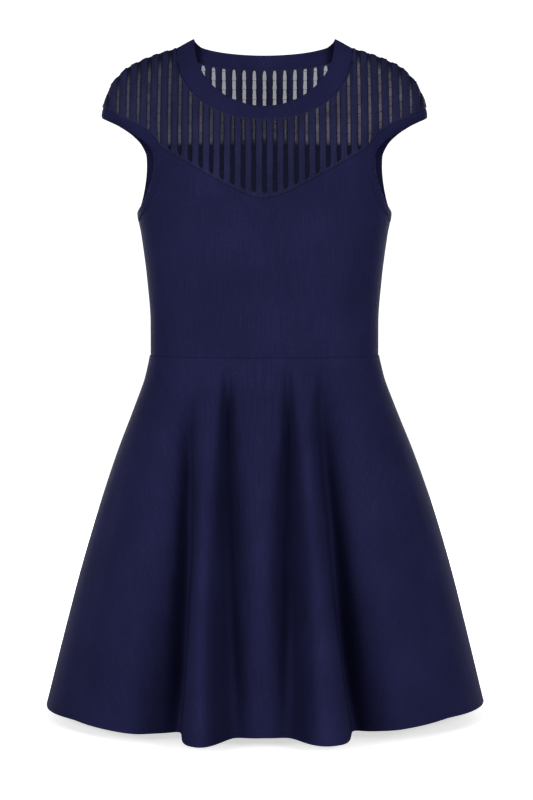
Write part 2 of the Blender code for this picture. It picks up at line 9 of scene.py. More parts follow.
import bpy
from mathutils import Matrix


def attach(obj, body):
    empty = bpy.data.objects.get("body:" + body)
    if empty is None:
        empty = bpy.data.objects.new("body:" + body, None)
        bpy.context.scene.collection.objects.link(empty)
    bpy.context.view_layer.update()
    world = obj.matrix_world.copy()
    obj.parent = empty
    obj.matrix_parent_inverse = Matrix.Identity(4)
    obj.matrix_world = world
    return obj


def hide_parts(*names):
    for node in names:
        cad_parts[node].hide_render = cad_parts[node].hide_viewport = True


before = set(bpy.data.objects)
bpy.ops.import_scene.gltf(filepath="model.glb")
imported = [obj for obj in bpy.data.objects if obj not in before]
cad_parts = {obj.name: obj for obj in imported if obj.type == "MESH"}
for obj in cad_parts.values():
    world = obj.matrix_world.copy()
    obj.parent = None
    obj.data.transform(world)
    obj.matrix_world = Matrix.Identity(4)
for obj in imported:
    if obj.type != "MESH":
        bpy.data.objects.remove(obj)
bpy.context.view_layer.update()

# %% [markdown]
# ## Sizes
#
# A knitter starts from measurements, and so does this script. Heights are drops, measured down from the neck
# point, where the neckline crosses the shoulder. The torso and the skirt are stacks of level sections: each
# ring says how wide it is, how deep in front and behind, and how square. They are the sizes of the CAD model,
# because a shell that replaces a wall has to lie where the wall is. Only the seam at the waist is drawn a
# little higher, 2.5 mm above the ring that the two stacks share.

# %% Driving sizes
import math
from collections import namedtuple

import bpy
import numpy as np

NECK_POINT_HEIGHT = 0.018
BUST_DROP = 0.208
WAIST_DROP = 0.3835
HEM_DROP = 0.820

Ring = namedtuple("Ring", "drop half_width front_depth back_depth squareness")

WAIST_RING = Ring(0.386, 0.1400, 0.092, 0.079, 2.38)

TORSO = (
    Ring(0.000, 0.0860, 0.002, 0.034, 1.50),
    Ring(0.008, 0.1055, 0.014, 0.046, 1.60),
    Ring(0.015, 0.1285, 0.022, 0.055, 1.70),
    Ring(0.022, 0.1470, 0.028, 0.060, 1.80),
    Ring(0.033, 0.1680, 0.036, 0.066, 1.95),
    Ring(0.052, 0.1860, 0.047, 0.076, 2.15),
    Ring(0.075, 0.1955, 0.058, 0.084, 2.28),
    Ring(0.093, 0.1990, 0.068, 0.090, 2.30),
    Ring(0.102, 0.1875, 0.074, 0.092, 2.30),
    Ring(0.112, 0.1750, 0.079, 0.094, 2.30),
    Ring(0.126, 0.1627, 0.086, 0.097, 2.30),
    Ring(0.140, 0.1567, 0.092, 0.099, 2.30),
    Ring(0.165, 0.1555, 0.102, 0.102, 2.30),
    Ring(BUST_DROP, 0.1555, 0.114, 0.102, 2.32),
    Ring(0.236, 0.1510, 0.118, 0.099, 2.35),
    Ring(0.290, 0.1440, 0.110, 0.091, 2.40),
    Ring(0.345, 0.1400, 0.098, 0.082, 2.40),
    WAIST_RING,
)

SKIRT = (
    WAIST_RING,
    Ring(0.411, 0.1470, 0.097, 0.086, 2.35),
    Ring(0.448, 0.1605, 0.109, 0.100, 2.30),
    Ring(0.503, 0.1815, 0.130, 0.122, 2.25),
    Ring(0.577, 0.2060, 0.155, 0.148, 2.18),
    Ring(0.651, 0.2275, 0.176, 0.170, 2.12),
    Ring(0.725, 0.2465, 0.194, 0.189, 2.08),
    Ring(HEM_DROP, 0.2700, 0.212, 0.208, 2.05),
)
print("rings down the torso:", len(TORSO), "and down the skirt:", len(SKIRT))

# %% [markdown]
# ## The worn form
#
# The body of the dress is one smooth surface. A level section of it is a superellipse, an oval that can be
# rounder or squarer, and its sizes change smoothly from ring to ring. An ordinary spline could swing past the
# rings and dent the cloth, so the curve used here never does.


# %% A curve that never swings past its values
def smooth_curve(stations, values):
    """A function through the values that is smooth and never swings past them."""
    stations, values = np.asarray(stations, float), np.asarray(values, float)
    width = np.diff(stations)
    slope = np.diff(values) / width
    tangent = np.concatenate([slope[:1], np.zeros(len(slope) - 1), slope[-1:]])
    for i in np.flatnonzero(slope[:-1] * slope[1:] > 0):
        before, after = 2 * width[i + 1] + width[i], width[i + 1] + 2 * width[i]
        tangent[i + 1] = (before + after) / (before / slope[i] + after / slope[i + 1])

    def curve(at):
        at = np.clip(at, stations[0], stations[-1])
        i = np.clip(np.searchsorted(stations, at, side="right") - 1, 0, len(width) - 1)
        h, t = width[i], (at - stations[i]) / width[i]
        rise = values[i] * (1 + 2 * t) * (1 - t) ** 2 + values[i + 1] * t * t * (3 - 2 * t)
        return rise + h * (tangent[i] * t * (1 - t) ** 2 - tangent[i + 1] * t * t * (1 - t))

    return curve


def curves_of(rings):
    """One smooth curve down the rings for each of their columns after the drop."""
    drops = [ring.drop for ring in rings]
    return [smooth_curve(drops, [ring[column] for ring in rings]) for column in range(1, len(rings[0]))]


torso_half_width, torso_front, torso_back, torso_squareness = curves_of(TORSO)
skirt_half_width, skirt_front, skirt_back, skirt_squareness = curves_of(SKIRT)
print("bust, waist across:", [round(2 * float(torso_half_width(d)), 3) for d in (BUST_DROP, WAIST_DROP)])

# %% [markdown]
# ### Points on the torso
#
# A point of the torso can be found in two ways. A view from the front gives its x and its drop, and the
# surface adds the depth. Or an angle gives its place round the level section, from the left side seam to the
# right one. The second way keeps points evenly spread near the side seams, where the cloth turns away from
# the front.

# %% Points on the torso
FRONT, BACK = -1, 1


def located(x, y, drop):
    """Points of the dress from their drops."""
    x, y, drop = np.broadcast_arrays(x, y, drop)
    return np.stack([x, y, NECK_POINT_HEIGHT - drop], axis=-1)


def drops_of(points):
    return NECK_POINT_HEIGHT - points[..., 2]


def torso_depth(x, drop, side):
    """The y of the torso's front or back at this x and drop."""
    squareness = torso_squareness(drop)
    share = np.clip(1 - (np.abs(x) / torso_half_width(drop)) ** squareness, 0, 1)
    depth = torso_front(drop) if side == FRONT else torso_back(drop)
    return side * depth * share ** (1 / squareness)


def torso_at(reach, drop, side):
    """Points at an angle round the torso's level section, from the left side seam to the front or back."""
    power = 2 / torso_squareness(drop)
    depth = np.where(side == FRONT, torso_front(drop), torso_back(drop))
    along, out = np.cos(reach), np.clip(np.sin(reach), 0, 1)
    x = torso_half_width(drop) * np.sign(along) * np.abs(along) ** power
    return located(x, side * depth * out**power, drop)


def reach_of(x, drop):
    """The angle from the left side seam at which the torso's level section has this x."""
    share = np.clip(np.abs(x) / torso_half_width(drop), 0, 1) ** (torso_squareness(drop) / 2)
    return np.arccos(np.sign(x) * share)


bust_depths = [float(torso_depth(0, BUST_DROP, side)) for side in (FRONT, BACK)]
print("bust from front to back:", round(bust_depths[1] - bust_depths[0], 3))

# %% [markdown]
# ### Which way is out
#
# Ribs stand out from the cloth and seams sink into it, so every point needs the direction that leads straight
# away from the surface. A function that has one value all over the torso grows fastest in just that
# direction. Its slopes are measured with small steps, because a formula for them would be hard to read.

# %% Outward normals of the torso
SLOPE_STEP = 1e-4
DROP_STEP = 0.004


def torso_normals(points):
    """Outward normals: the slope of a function that has one value all over the torso."""
    x, y, drop = points[..., 0], points[..., 1], drops_of(points)

    def level(x, y, drop):
        squareness = torso_squareness(drop)
        depth = np.where(y < 0, torso_front(drop), torso_back(drop))
        return (np.abs(x) / torso_half_width(drop)) ** squareness + (np.abs(y) / depth) ** squareness

    above, below = np.maximum(drop - DROP_STEP, 0), drop + DROP_STEP
    slopes = (
        (level(x + SLOPE_STEP, y, drop) - level(x - SLOPE_STEP, y, drop)) / (2 * SLOPE_STEP),
        (level(x, y + SLOPE_STEP, drop) - level(x, y - SLOPE_STEP, drop)) / (2 * SLOPE_STEP),
        (level(x, y, above) - level(x, y, below)) / (below - above),
    )
    normals = np.stack(slopes, axis=-1)
    return normals / np.linalg.norm(normals, axis=-1, keepdims=True)


middle_of_bust = located(0, bust_depths[0], BUST_DROP)
print("out, at the middle of the bust:", torso_normals(middle_of_bust).round(2))

# %% [markdown]
# ## Seam lines
#
# The pieces meet along lines drawn on that surface. Front and back meet on the top line of the shoulder. The
# neck has two lines, the edge of its opening and the seam of its band. Seen from the front each is an oval,
# with its own lowest point in front and behind, which is how a pattern maker draws a neckline. The seam
# crosses the shoulder on the crown of a rib, eight and a half pitches from the middle.

# %% Lines of the shoulder and the neck
FINE = 600
RIB_PITCH = 0.0127
CAP_EDGE_DROP = 0.0925

NeckEdge = namedtuple("NeckEdge", "half_width front_drop back_drop roundness")
NECK_OPENING = NeckEdge(0.0860, 0.0815, 0.0130, 2.0)
NECK_SEAM_PITCHES = 8.5
NECK_SEAM = NeckEdge(NECK_SEAM_PITCHES * RIB_PITCH, 0.0975, 0.0285, 2.15)

SHOULDER_DROPS = np.linspace(0, CAP_EDGE_DROP, FINE)
SHOULDER_WIDTHS = torso_half_width(SHOULDER_DROPS)


def shoulder_drop(x):
    """The drop of the top line of the shoulder at this x."""
    return np.interp(np.abs(x), SHOULDER_WIDTHS, SHOULDER_DROPS)


def neck_drop(edge, x, side):
    """The drop at which a neck edge crosses this x, on the front or on the back."""
    top = shoulder_drop(edge.half_width)
    lowest = edge.front_drop if side == FRONT else edge.back_drop
    share = np.clip(1 - (np.abs(x) / edge.half_width) ** edge.roundness, 0, 1)
    return top + (lowest - top) * share ** (1 / edge.roundness)


def neck_loop(edge, turns):
    """Points round a neck edge. A turn runs from the wearer's left over the front, right and back."""
    x = edge.half_width * np.cos(turns)
    front, back = neck_drop(edge, x, FRONT), neck_drop(edge, x, BACK)
    over_front = located(x, torso_depth(x, front, FRONT), front)
    over_back = located(x, torso_depth(x, back, BACK), back)
    return np.where((np.sin(turns) >= 0)[:, None], over_front, over_back)


def lengths_along(points, axis):
    """How far along its row or column each point of a line or grid lies, measured over the surface."""
    steps = np.linalg.norm(np.diff(points, axis=axis), axis=-1)
    start = np.zeros_like(np.take(steps, [0], axis=axis))
    return np.concatenate([start, np.cumsum(steps, axis=axis)], axis=axis)


full_turn = np.linspace(0, 2 * math.pi, FINE)
print("round the neck opening:", round(float(lengths_along(neck_loop(NECK_OPENING, full_turn), 0)[-1]), 3))

# %% [markdown]
# ### Armholes
#
# An armhole is drawn as angles and drops, not as a view from one side, because it wraps round the side of the
# body. It reaches further into the front than into the back. Above its widest place the opening runs
# straighter in front than behind, so the front of the cap sleeve slants over the arm.

# %% Lines of the armholes
ArmholeEdge = namedtuple(
    "ArmholeEdge",
    "top_drop bottom_drop front_reach back_reach front_widest back_widest front_roundness back_roundness",
)
ARM_OPENING = ArmholeEdge(
    CAP_EDGE_DROP, 0.2080, math.radians(33.7), math.radians(22.3), 0.138, 0.130, 1.45, 2.4
)
ARM_SEAM = ArmholeEdge(
    0.0815, 0.2205, math.radians(41.0), math.radians(29.0), 0.127, 0.121, 2.20, 2.2
)
ARMHOLE_LOWER_ROUNDNESS = 2.2


def armhole_loop(edge, turns):
    """Points round the left armhole. Turns run from the cap's tip down the front; negative ones, the back."""
    up, out = np.cos(turns), np.abs(np.sin(turns))
    side = np.where(np.asarray(turns) >= 0, FRONT, BACK)
    widest = np.where(side == FRONT, edge.front_widest, edge.back_widest)
    end = np.where(up > 0, edge.top_drop, edge.bottom_drop)
    upper_roundness = np.where(side == FRONT, edge.front_roundness, edge.back_roundness)
    power = 2 / np.where(up > 0, upper_roundness, ARMHOLE_LOWER_ROUNDNESS)
    drop = widest + (end - widest) * np.abs(up) ** power
    reach = out**power * np.where(side == FRONT, edge.front_reach, edge.back_reach)
    return torso_at(reach, drop, side)


arm_opening_loop = armhole_loop(ARM_OPENING, full_turn - math.pi)
print("round an arm opening:", round(float(lengths_along(arm_opening_loop, 0)[-1]), 3))

# %% [markdown]
# ### Lower edges of the yokes
#
# The front yoke ends in a V with a softened point, the back yoke in a straight line. A hypotenuse makes the
# softened V: far from the middle it runs as straight as the V's sides, and at the middle it is round. Where
# these lines meet the armhole's seam, the bodice's corners lie.

# %% Lower edges and corners of the yokes
FRONT_YOKE_POINT_DROP = 0.193
FRONT_YOKE_SLOPE = 0.605
FRONT_YOKE_ROUNDING = 0.025
BACK_YOKE_DROP = 0.121
CORNER_SEARCH = math.radians(108)


def yoke_edge(x, side):
    """The drop of a yoke's lower edge: a V with a rounded point in front, straight behind."""
    if side == BACK:
        return np.full_like(np.asarray(x, float), BACK_YOKE_DROP)
    rise = np.hypot(x, FRONT_YOKE_ROUNDING) - FRONT_YOKE_ROUNDING
    return FRONT_YOKE_POINT_DROP - FRONT_YOKE_SLOPE * rise


def yoke_corner_turn(side):
    """How far round the armhole, from the cap's tip, the yoke's lower edge meets it."""
    turns = np.linspace(0, CORNER_SEARCH, FINE)
    seam = armhole_loop(ARM_SEAM, -side * turns)
    return np.interp(0, drops_of(seam) - yoke_edge(seam[:, 0], side), turns)


def armhole_seam_x(turn):
    """How far out the armhole's seam lies at one turn."""
    return armhole_loop(ARM_SEAM, np.array([turn]))[0, 0]


CORNER = {side: armhole_seam_x(-side * yoke_corner_turn(side)) for side in (FRONT, BACK)}
CAP_TIP = armhole_seam_x(0.0)
print("yoke corners at x", {side: round(x, 4) for side, x in CORNER.items()}, "cap tip at", round(CAP_TIP, 4))

# %% [markdown]
# ## From a flat grid to a worn panel
#
# A knitted panel comes off the machine flat, as rows and columns of stitches. A grid is the same thing, so
# every panel starts as Blender's grid and each of its points is moved to its place on the worn form. Small
# helpers come first: reading numbers from a mesh, adding a grid, and moving its points.


# %% Reading, adding and moving a grid
def numbers_from(items, field, width, kind=np.float32):
    """One row of numbers for each item of a mesh."""
    values = np.zeros(len(items) * width, kind)
    items.foreach_get(field, values)
    return values.reshape(-1, width)


def flat_grid(name, columns, rows):
    """Blender's grid, with the column and the row that each of its points lies in."""
    bpy.ops.object.select_all(action="DESELECT")
    bpy.ops.mesh.primitive_grid_add(x_subdivisions=columns - 1, y_subdivisions=rows - 1, size=1)
    piece = bpy.context.object
    piece.name = piece.data.name = name
    start = numbers_from(piece.data.vertices, "co", 3)
    column = np.rint((start[:, 0] + 0.5) * (columns - 1)).astype(int)
    row = np.rint((0.5 - start[:, 1]) * (rows - 1)).astype(int)
    return piece, column, row


def place_points(piece, points):
    """Moves a mesh's points to these, and smooths its shading."""
    piece.data.vertices.foreach_set("co", np.asarray(points, np.float32).ravel())
    piece.data.update()
    piece.data.shade_smooth()


print("grid helpers:", [helper.__name__ for helper in (numbers_from, flat_grid, place_points)])

# %% [markdown]
# ### Flat map, marks and thickness
#
# A knit pattern follows the flat cloth, so the UV map keeps each point's place on the flat panel, in metres.
# A mark is a number at each point that a material can read, such as where the net is. Solidify then gives
# the sheet its thickness on the inside, which is why its faces have to look outwards first.


# %% Making a panel
def map_flat(piece, flat):
    """Writes each point's place on the flat cloth into the UV map, in metres."""
    corner = numbers_from(piece.data.loops, "vertex_index", 1, np.int32)[:, 0]
    piece.data.uv_layers[0].data.foreach_set("uv", flat[corner].astype(np.float32).ravel())


def mark_points(piece, mark, values):
    """Keeps one number at each point of a mesh, as an attribute with this name."""
    layer = piece.data.attributes.new(mark, "FLOAT", "POINT")
    layer.data.foreach_set("value", values.astype(np.float32).ravel())


def faces_outward(mesh):
    """Whether a sheet's faces look away from the upright line through the middle of the dress."""
    normals, centres = (numbers_from(mesh.polygons, field, 3) for field in ("normal", "center"))
    return np.sum(normals[:, :2] * centres[:, :2]) > 0


def applied(piece, kind, **settings):
    """Adds a modifier with these settings and applies it."""
    modifier = piece.modifiers.new(kind.title(), kind)
    for setting, value in settings.items():
        setattr(modifier, setting, value)
    bpy.context.view_layer.objects.active = piece
    bpy.ops.object.modifier_apply(modifier=modifier.name)


def panel(name, points, flat, thickness, marks):
    """A sheet through a grid of points, [column][row], with its flat map, its marks and its thickness."""
    piece, column, row = flat_grid(name, *points.shape[:2])
    place_points(piece, points[column, row])
    map_flat(piece, flat[column, row])
    for mark, values in marks.items():
        mark_points(piece, mark, values[column, row])
    if not faces_outward(piece.data):
        piece.data.flip_normals()
    applied(piece, "SOLIDIFY", thickness=thickness, offset=-1)
    print(name, "faces:", len(piece.data.polygons))
    return piece


panel_helpers = (map_flat, mark_points, faces_outward, applied, panel)
print("panel helpers:", [helper.__name__ for helper in panel_helpers])

# %% [markdown]
# ## The bodice
#
# Two close-fitting panels, front and back. Linking pulls the cloth in beside a seam, in a strip only 2 mm
# wide, so the mesh needs rows close together there and can have wide ones between. The steps beside the seams
# are given, and the rest of each column is shared out evenly.

# %% Rows between two seams
SEAM_STEPS = (0, 0.0004, 0.0009, 0.0016, 0.0026)


def graded(length, near_start, near_end, count):
    """Distances down each column: given steps by its two ends, even ones between."""
    length = np.asarray(length, float)[:, None]
    start, end = near_start[-1], near_end[-1]
    middle = start + (length - start - end) * np.linspace(0, 1, count)[1:-1]
    first = np.broadcast_to(near_start, (len(length), len(near_start)))
    return np.concatenate([first, middle, length - np.array(near_end)[::-1]], axis=1)


def rolled(distance, depth, reach):
    """How far cloth sinks beside a seam: the full depth on the seam, nothing from the reach on."""
    return depth * (1 - np.clip(distance / reach, 0, 1)) ** 2


print("rows beside a seam, in mm:", [round(1000 * step, 1) for step in SEAM_STEPS])

# %% [markdown]
# ### Columns of the bodice
#
# Beside the armhole the columns of stitches start on the armhole's seam, and between the corners of the yoke
# they start on the yoke's edge; all of them run down to the waist. They fan out a little on the way, or the
# columns under the armhole would be squeezed together at its lowest point.

# %% Columns of the bodice
BODICE_COLUMNS_BESIDE_ARMHOLE = 64
BODICE_COLUMNS_BELOW_YOKE = 120
BODICE_COLUMN_LEAN = math.radians(5)
QUARTER, HALF = math.pi / 2, math.pi


def bodice_columns(side):
    """The angle and the drop at which each column starts, and the angle at which it ends on the waist."""
    turns = np.linspace(HALF, yoke_corner_turn(side), BODICE_COLUMNS_BESIDE_ARMHOLE)
    beside = armhole_loop(ARM_SEAM, -side * turns)
    xs = np.linspace(CORNER[side], -CORNER[side], BODICE_COLUMNS_BELOW_YOKE)[1:-1]
    edge = yoke_edge(xs, side)
    reach_beside, reach_edge = reach_of(beside[:, 0], drops_of(beside)), reach_of(xs, edge)
    top_reach = np.concatenate([reach_beside, reach_edge, HALF - reach_beside[::-1]])
    top_drop = np.concatenate([drops_of(beside), edge, drops_of(beside)[::-1]])

    corner, foot = reach_beside[-1], reach_beside[-1] + BODICE_COLUMN_LEAN
    foot_beside = (foot * reach_beside / corner + np.linspace(0, foot, len(turns))) / 2
    foot_edge = QUARTER + (reach_edge - QUARTER) * (QUARTER - foot) / (QUARTER - corner)
    foot_reach = np.concatenate([foot_beside, foot_edge, HALF - foot_beside[::-1]])
    return top_reach, top_drop, foot_reach


print("columns of a bodice panel:", len(bodice_columns(FRONT)[0]))

# %% [markdown]
# ### Bodice panels
#
# The panel's flat map measures across each level from the centre line, since that is how the columns of
# stitches run. Its top row goes on a hair's breadth under the yoke, so that no light shows through the seam,
# and the cloth sinks a little beside each seam.

# %% Bodice panels
CLOTH = 0.0013
BODICE_ROWS = 84
BODICE_LAP = 0.0007
LEVEL_SAMPLES = 32
SEAM_SINK = 0.0005
SEAM_REACH = 0.0024
WAIST_SINK = 0.0002


def bodice(name, side):
    top_reach, top_drop, foot_reach = (part[:, None] for part in bodice_columns(side))
    length = WAIST_DROP - top_drop
    down = graded(length[:, 0], (-BODICE_LAP, *SEAM_STEPS), SEAM_STEPS, BODICE_ROWS)
    reach, drop = top_reach + (foot_reach - top_reach) * (down / length), top_drop + down
    surface = torso_at(reach, drop, side)
    surface[[0, -1], :, 1] = 0

    from_centre = torso_at(np.linspace(QUARTER, reach, LEVEL_SAMPLES), drop, side)
    across = lengths_along(from_centre, 0)[-1] * np.sign(QUARTER - reach)
    flat = np.stack([across, -drops_of(surface)], axis=-1)
    from_side = np.minimum(lengths_along(surface, 0), lengths_along(surface[::-1], 0)[::-1])
    sink = rolled(down, SEAM_SINK, SEAM_REACH) + rolled(length - down, WAIST_SINK, SEAM_REACH)
    sink += rolled(from_side, SEAM_SINK, SEAM_REACH)
    return panel(name, surface - torso_normals(surface) * sink[..., None], flat, CLOTH, {})


bodice_front = bodice("bodice_front_cloth", FRONT)
bodice_back = bodice("bodice_back_cloth", BACK)

# %% [markdown]
# ## The skirt
#
# A skirt cut as half a circle falls in cones: ridges that stand further out towards the hem, and hollows
# between them. Each fold line below says where it starts at the waist, where it ends at the hem, in degrees
# round the skirt from the centre front, and how far it stands out at three heights. The front ones are
# narrow and lean a little inwards as they fall, so their edges overlap the hollows beside them.

# %% Fold lines
FoldLine = namedtuple("FoldLine", "waist_turn hem_turn high_rise middle_rise hem_rise")
FOLD_HIGH_DROP = 0.446
FOLD_MIDDLE_DROP = 0.600
FOLDS = (
    FoldLine(-180, -178, 0.001, 0.006, 0.016),
    FoldLine(-162, -163, -0.003, -0.012, -0.024),
    FoldLine(-146, -148, 0.002, 0.015, 0.032),
    FoldLine(-132, -133, -0.002, -0.011, -0.024),
    FoldLine(-112, -115, 0.001, 0.009, 0.018),
    FoldLine(-90, -90, 0.000, 0.000, 0.000),
    FoldLine(-66, -60, 0.000, -0.002, -0.008),
    FoldLine(-47, -38, 0.001, 0.000, -0.006),
    FoldLine(-31, -24.8, -0.002, -0.012, -0.030),
    FoldLine(-25, -16.3, 0.001, 0.016, 0.047),
    FoldLine(-21.5, -13.6, 0.003, 0.021, 0.054),
    FoldLine(-18, -10.8, 0.001, 0.013, 0.045),
    FoldLine(-13, -8.4, -0.006, -0.008, 0.004),
    FoldLine(-2, 0, 0.003, 0.004, -0.008),
    FoldLine(8, 6.8, -0.005, -0.008, -0.003),
    FoldLine(11.5, 9.6, 0.000, 0.007, 0.032),
    FoldLine(15, 13, 0.003, 0.017, 0.045),
    FoldLine(19.5, 17.2, 0.001, 0.013, 0.038),
    FoldLine(25, 25.5, -0.005, -0.017, -0.034),
    FoldLine(40, 38, 0.001, -0.003, -0.012),
    FoldLine(64, 60, 0.001, 0.000, -0.010),
    FoldLine(90, 90, 0.001, 0.004, 0.001),
    FoldLine(110, 113, 0.001, 0.010, 0.020),
    FoldLine(127, 129, -0.002, -0.012, -0.026),
    FoldLine(142, 145, 0.002, 0.014, 0.030),
    FoldLine(160, 161, -0.002, -0.010, -0.020),
)
print("fold lines:", len(FOLDS))

# %% [markdown]
# ### Creases
#
# Between two cones the cloth doesn't hang in an even wave: below the waist seam it starts as a pinched
# crease, then opens out and gets deeper on its way down. A fold line alone can't be that narrow, so the
# creases are laid on top of the fold lines. Each row says, at one drop, the turn in degrees at which
# the crease lies, how wide it is on its two sides, also in degrees, and how deep. No two are alike, and the
# steeper side is the one beside a standing ridge.

# %% Creases
CreaseRow = namedtuple("CreaseRow", "drop turn low_side high_side depth")


def crease(*rows):
    return [CreaseRow(*row) for row in rows]


CREASES = (
    crease(
        (0.418, -33.0, 1.4, 3.0, 0.0000),
        (0.462, -31.8, 3.5, 4.0, 0.0080),
        (0.540, -26.2, 4.4, 4.2, 0.0160),
        (0.640, -23.6, 3.6, 4.2, 0.0265),
        (0.740, -23.5, 2.9, 4.8, 0.0250),
        (0.820, -23.6, 2.5, 5.0, 0.0110),
    ),
    crease(
        (0.392, -15.0, 1.7, 2.3, 0.0000),
        (0.462, -13.6, 1.9, 2.7, 0.0135),
        (0.540, -12.1, 1.8, 3.6, 0.0140),
        (0.640, -10.7, 2.2, 4.6, 0.0165),
        (0.740, -9.2, 2.6, 4.6, 0.0185),
        (0.820, -7.6, 2.4, 3.4, 0.0115),
    ),
    crease(
        (0.388, 8.7, 1.8, 1.3, 0.0000),
        (0.462, 7.9, 1.9, 2.2, 0.0113),
        (0.540, 7.3, 3.2, 2.8, 0.0165),
        (0.640, 7.1, 4.1, 2.8, 0.0183),
        (0.740, 7.0, 4.1, 2.9, 0.0160),
        (0.820, 6.3, 3.5, 2.8, 0.0075),
    ),
    crease(
        (0.392, 27.0, 2.8, 1.7, 0.0000),
        (0.462, 22.8, 5.2, 6.2, 0.0145),
        (0.540, 21.7, 5.2, 5.8, 0.0245),
        (0.640, 22.3, 4.4, 4.1, 0.0270),
        (0.740, 23.9, 4.0, 3.3, 0.0240),
        (0.820, 26.2, 2.2, 2.2, 0.0100),
    ),
    crease((0.500, -66.0, 3.0, 3.0, 0.0), (0.600, -66.0, 8.0, 8.0, 0.0020), (0.820, -63.0, 9.0, 9.0, 0.0025)),
    crease((0.520, 60.0, 3.0, 3.0, 0.0), (0.640, 60.0, 8.0, 8.0, 0.0020), (0.820, 58.0, 9.0, 9.0, 0.0025)),
    crease((0.470, 104.0, 2.0, 2.0, 0.0), (0.600, 103.0, 3.6, 3.6, 0.0050), (0.820, 102.0, 3.6, 3.6, 0.0080)),
    crease(
        (0.402, 127.5, 1.8, 1.8, 0.0000),
        (0.480, 127.8, 3.2, 4.4, 0.0085),
        (0.620, 128.4, 4.2, 5.6, 0.0165),
        (0.820, 129.5, 3.6, 5.2, 0.0100),
    ),
    crease(
        (0.440, 158.0, 2.0, 2.0, 0.0000),
        (0.500, 158.8, 4.2, 3.4, 0.0055),
        (0.620, 160.6, 6.0, 4.2, 0.0130),
        (0.820, 162.0, 5.0, 4.2, 0.0085),
    ),
    crease(
        (0.418, 200.5, 1.8, 1.8, 0.0000),
        (0.480, 199.0, 3.0, 3.8, 0.0070),
        (0.640, 197.0, 4.0, 5.6, 0.0155),
        (0.820, 195.5, 3.8, 4.8, 0.0090),
    ),
    crease(
        (0.394, 229.5, 1.6, 1.6, 0.0000),
        (0.460, 228.6, 4.2, 3.0, 0.0095),
        (0.580, 227.4, 5.8, 3.8, 0.0150),
        (0.820, 226.0, 4.8, 3.6, 0.0095),
    ),
    crease((0.460, 256.0, 2.0, 2.0, 0.0), (0.580, 257.0, 3.6, 3.6, 0.0060), (0.820, 258.0, 3.6, 3.6, 0.0085)),
)


def crease_depth(turn, drop):
    """How deep the creases press into the skirt, at turns in degrees along one level."""
    depth = np.zeros_like(turn)
    for rows in CREASES:
        drops, *columns = zip(*rows)
        if drop > drops[0]:
            line, low_side, high_side, pressed = (smooth_curve(drops, column)(drop) for column in columns)
            away = (turn - line + 180) % 360 - 180
            depth += pressed * np.exp(-((away / np.where(away < 0, low_side, high_side)) ** 2))
    return depth


print("creases:", len(CREASES))

# %% [markdown]
# ### How far the folds stand out
#
# At each level one curve runs round the skirt through all the fold lines, and the creases are taken from it.
# Cloth has no sharp bends along a ridge, so the curve is first averaged over a couple of degrees.

# %% Folds at one level
FOLD_SOFTNESS = 2.2


def softened(curve, reach):
    """The curve averaged over a short stretch, so that its bends have no sudden start."""
    weights = ((-1, 0.11), (-0.5, 0.24), (0, 0.30), (0.5, 0.24), (1, 0.11))
    return lambda at: sum(share * curve(at + step * reach) for step, share in weights)


def fold_lines(drop):
    """The turn of each fold line at this drop."""
    down = (drop - WAIST_DROP) / (HEM_DROP - WAIST_DROP)
    return np.array([fold.waist_turn + (fold.hem_turn - fold.waist_turn) * down for fold in FOLDS])


def fold_rise(turn, drop):
    """How far the skirt stands out from its plain flare, at turns in degrees along one level."""
    lines = fold_lines(drop)
    drops = (WAIST_DROP, FOLD_HIGH_DROP, FOLD_MIDDLE_DROP, HEM_DROP)
    rises_down = [(0, fold.high_rise, fold.middle_rise, fold.hem_rise) for fold in FOLDS]
    rises = [smooth_curve(drops, rise_down)(drop) for rise_down in rises_down]
    around = smooth_curve(np.concatenate([lines - 360, lines, lines + 360]), np.tile(rises, 3))
    return softened(around, FOLD_SOFTNESS)(turn) - crease_depth(turn, drop)


hem_rises = fold_rise(np.linspace(-180, 180, 361), HEM_DROP)
print("the hem stands in and out by", round(float(hem_rises.min()), 3), round(float(hem_rises.max()), 3))

# %% [markdown]
# ### Columns of the skirt
#
# The columns of the mesh follow the fold lines, so that every ridge is modelled by points along its crest.
# Between two fold lines there is a column for every 0.62 degrees, but never fewer than nine: a narrow fold
# needs as many points round its crest as a wide one.

# %% Columns of the skirt
SKIRT_TURN_STEP = 0.62
LEAST_COLUMNS_PER_FOLD = 9
HALF_SKIRT = {FRONT: (-90, 90), BACK: (90, 270)}


def skirt_column_shares(side):
    """Where the columns lie between the fold lines: closer together on the narrow folds."""
    first, last = HALF_SKIRT[side]
    lines = fold_lines(HEM_DROP)
    lines = np.concatenate([lines, lines + 360])
    chosen = np.flatnonzero((lines >= first) & (lines <= last))
    shares = [
        np.linspace(k, k + 1, max(LEAST_COLUMNS_PER_FOLD, round(gap / SKIRT_TURN_STEP)), endpoint=False)
        for k, gap in zip(chosen[:-1], np.diff(lines[chosen]))
    ]
    return np.concatenate([*shares, chosen[-1:]])


def skirt_turns(side, drop):
    """The turns of the columns of one half of the skirt at this drop, from seam to seam."""
    lines = np.concatenate([fold_lines(drop), fold_lines(drop) + 360])
    return np.interp(skirt_column_shares(side), np.arange(len(lines)), lines)


print("columns of the skirt:", len(skirt_turns(FRONT, HEM_DROP)), "and", len(skirt_turns(BACK, HEM_DROP)))

# %% [markdown]
# ### One level of the skirt
#
# Each level is the plain flare, a superellipse like the torso's, moved outwards by its folds. The way
# outwards is worked out from the superellipse, and not from the centre, because the folds of a wide skirt
# stand square to its side. Just under the waist seam the skirt makes a small step, since it is linked on
# outside.

# %% Levels of the skirt
WAIST_STEP = 0.0015
WAIST_STEP_HEIGHT = 0.030
WAIST_LIP_REACH = 0.0012


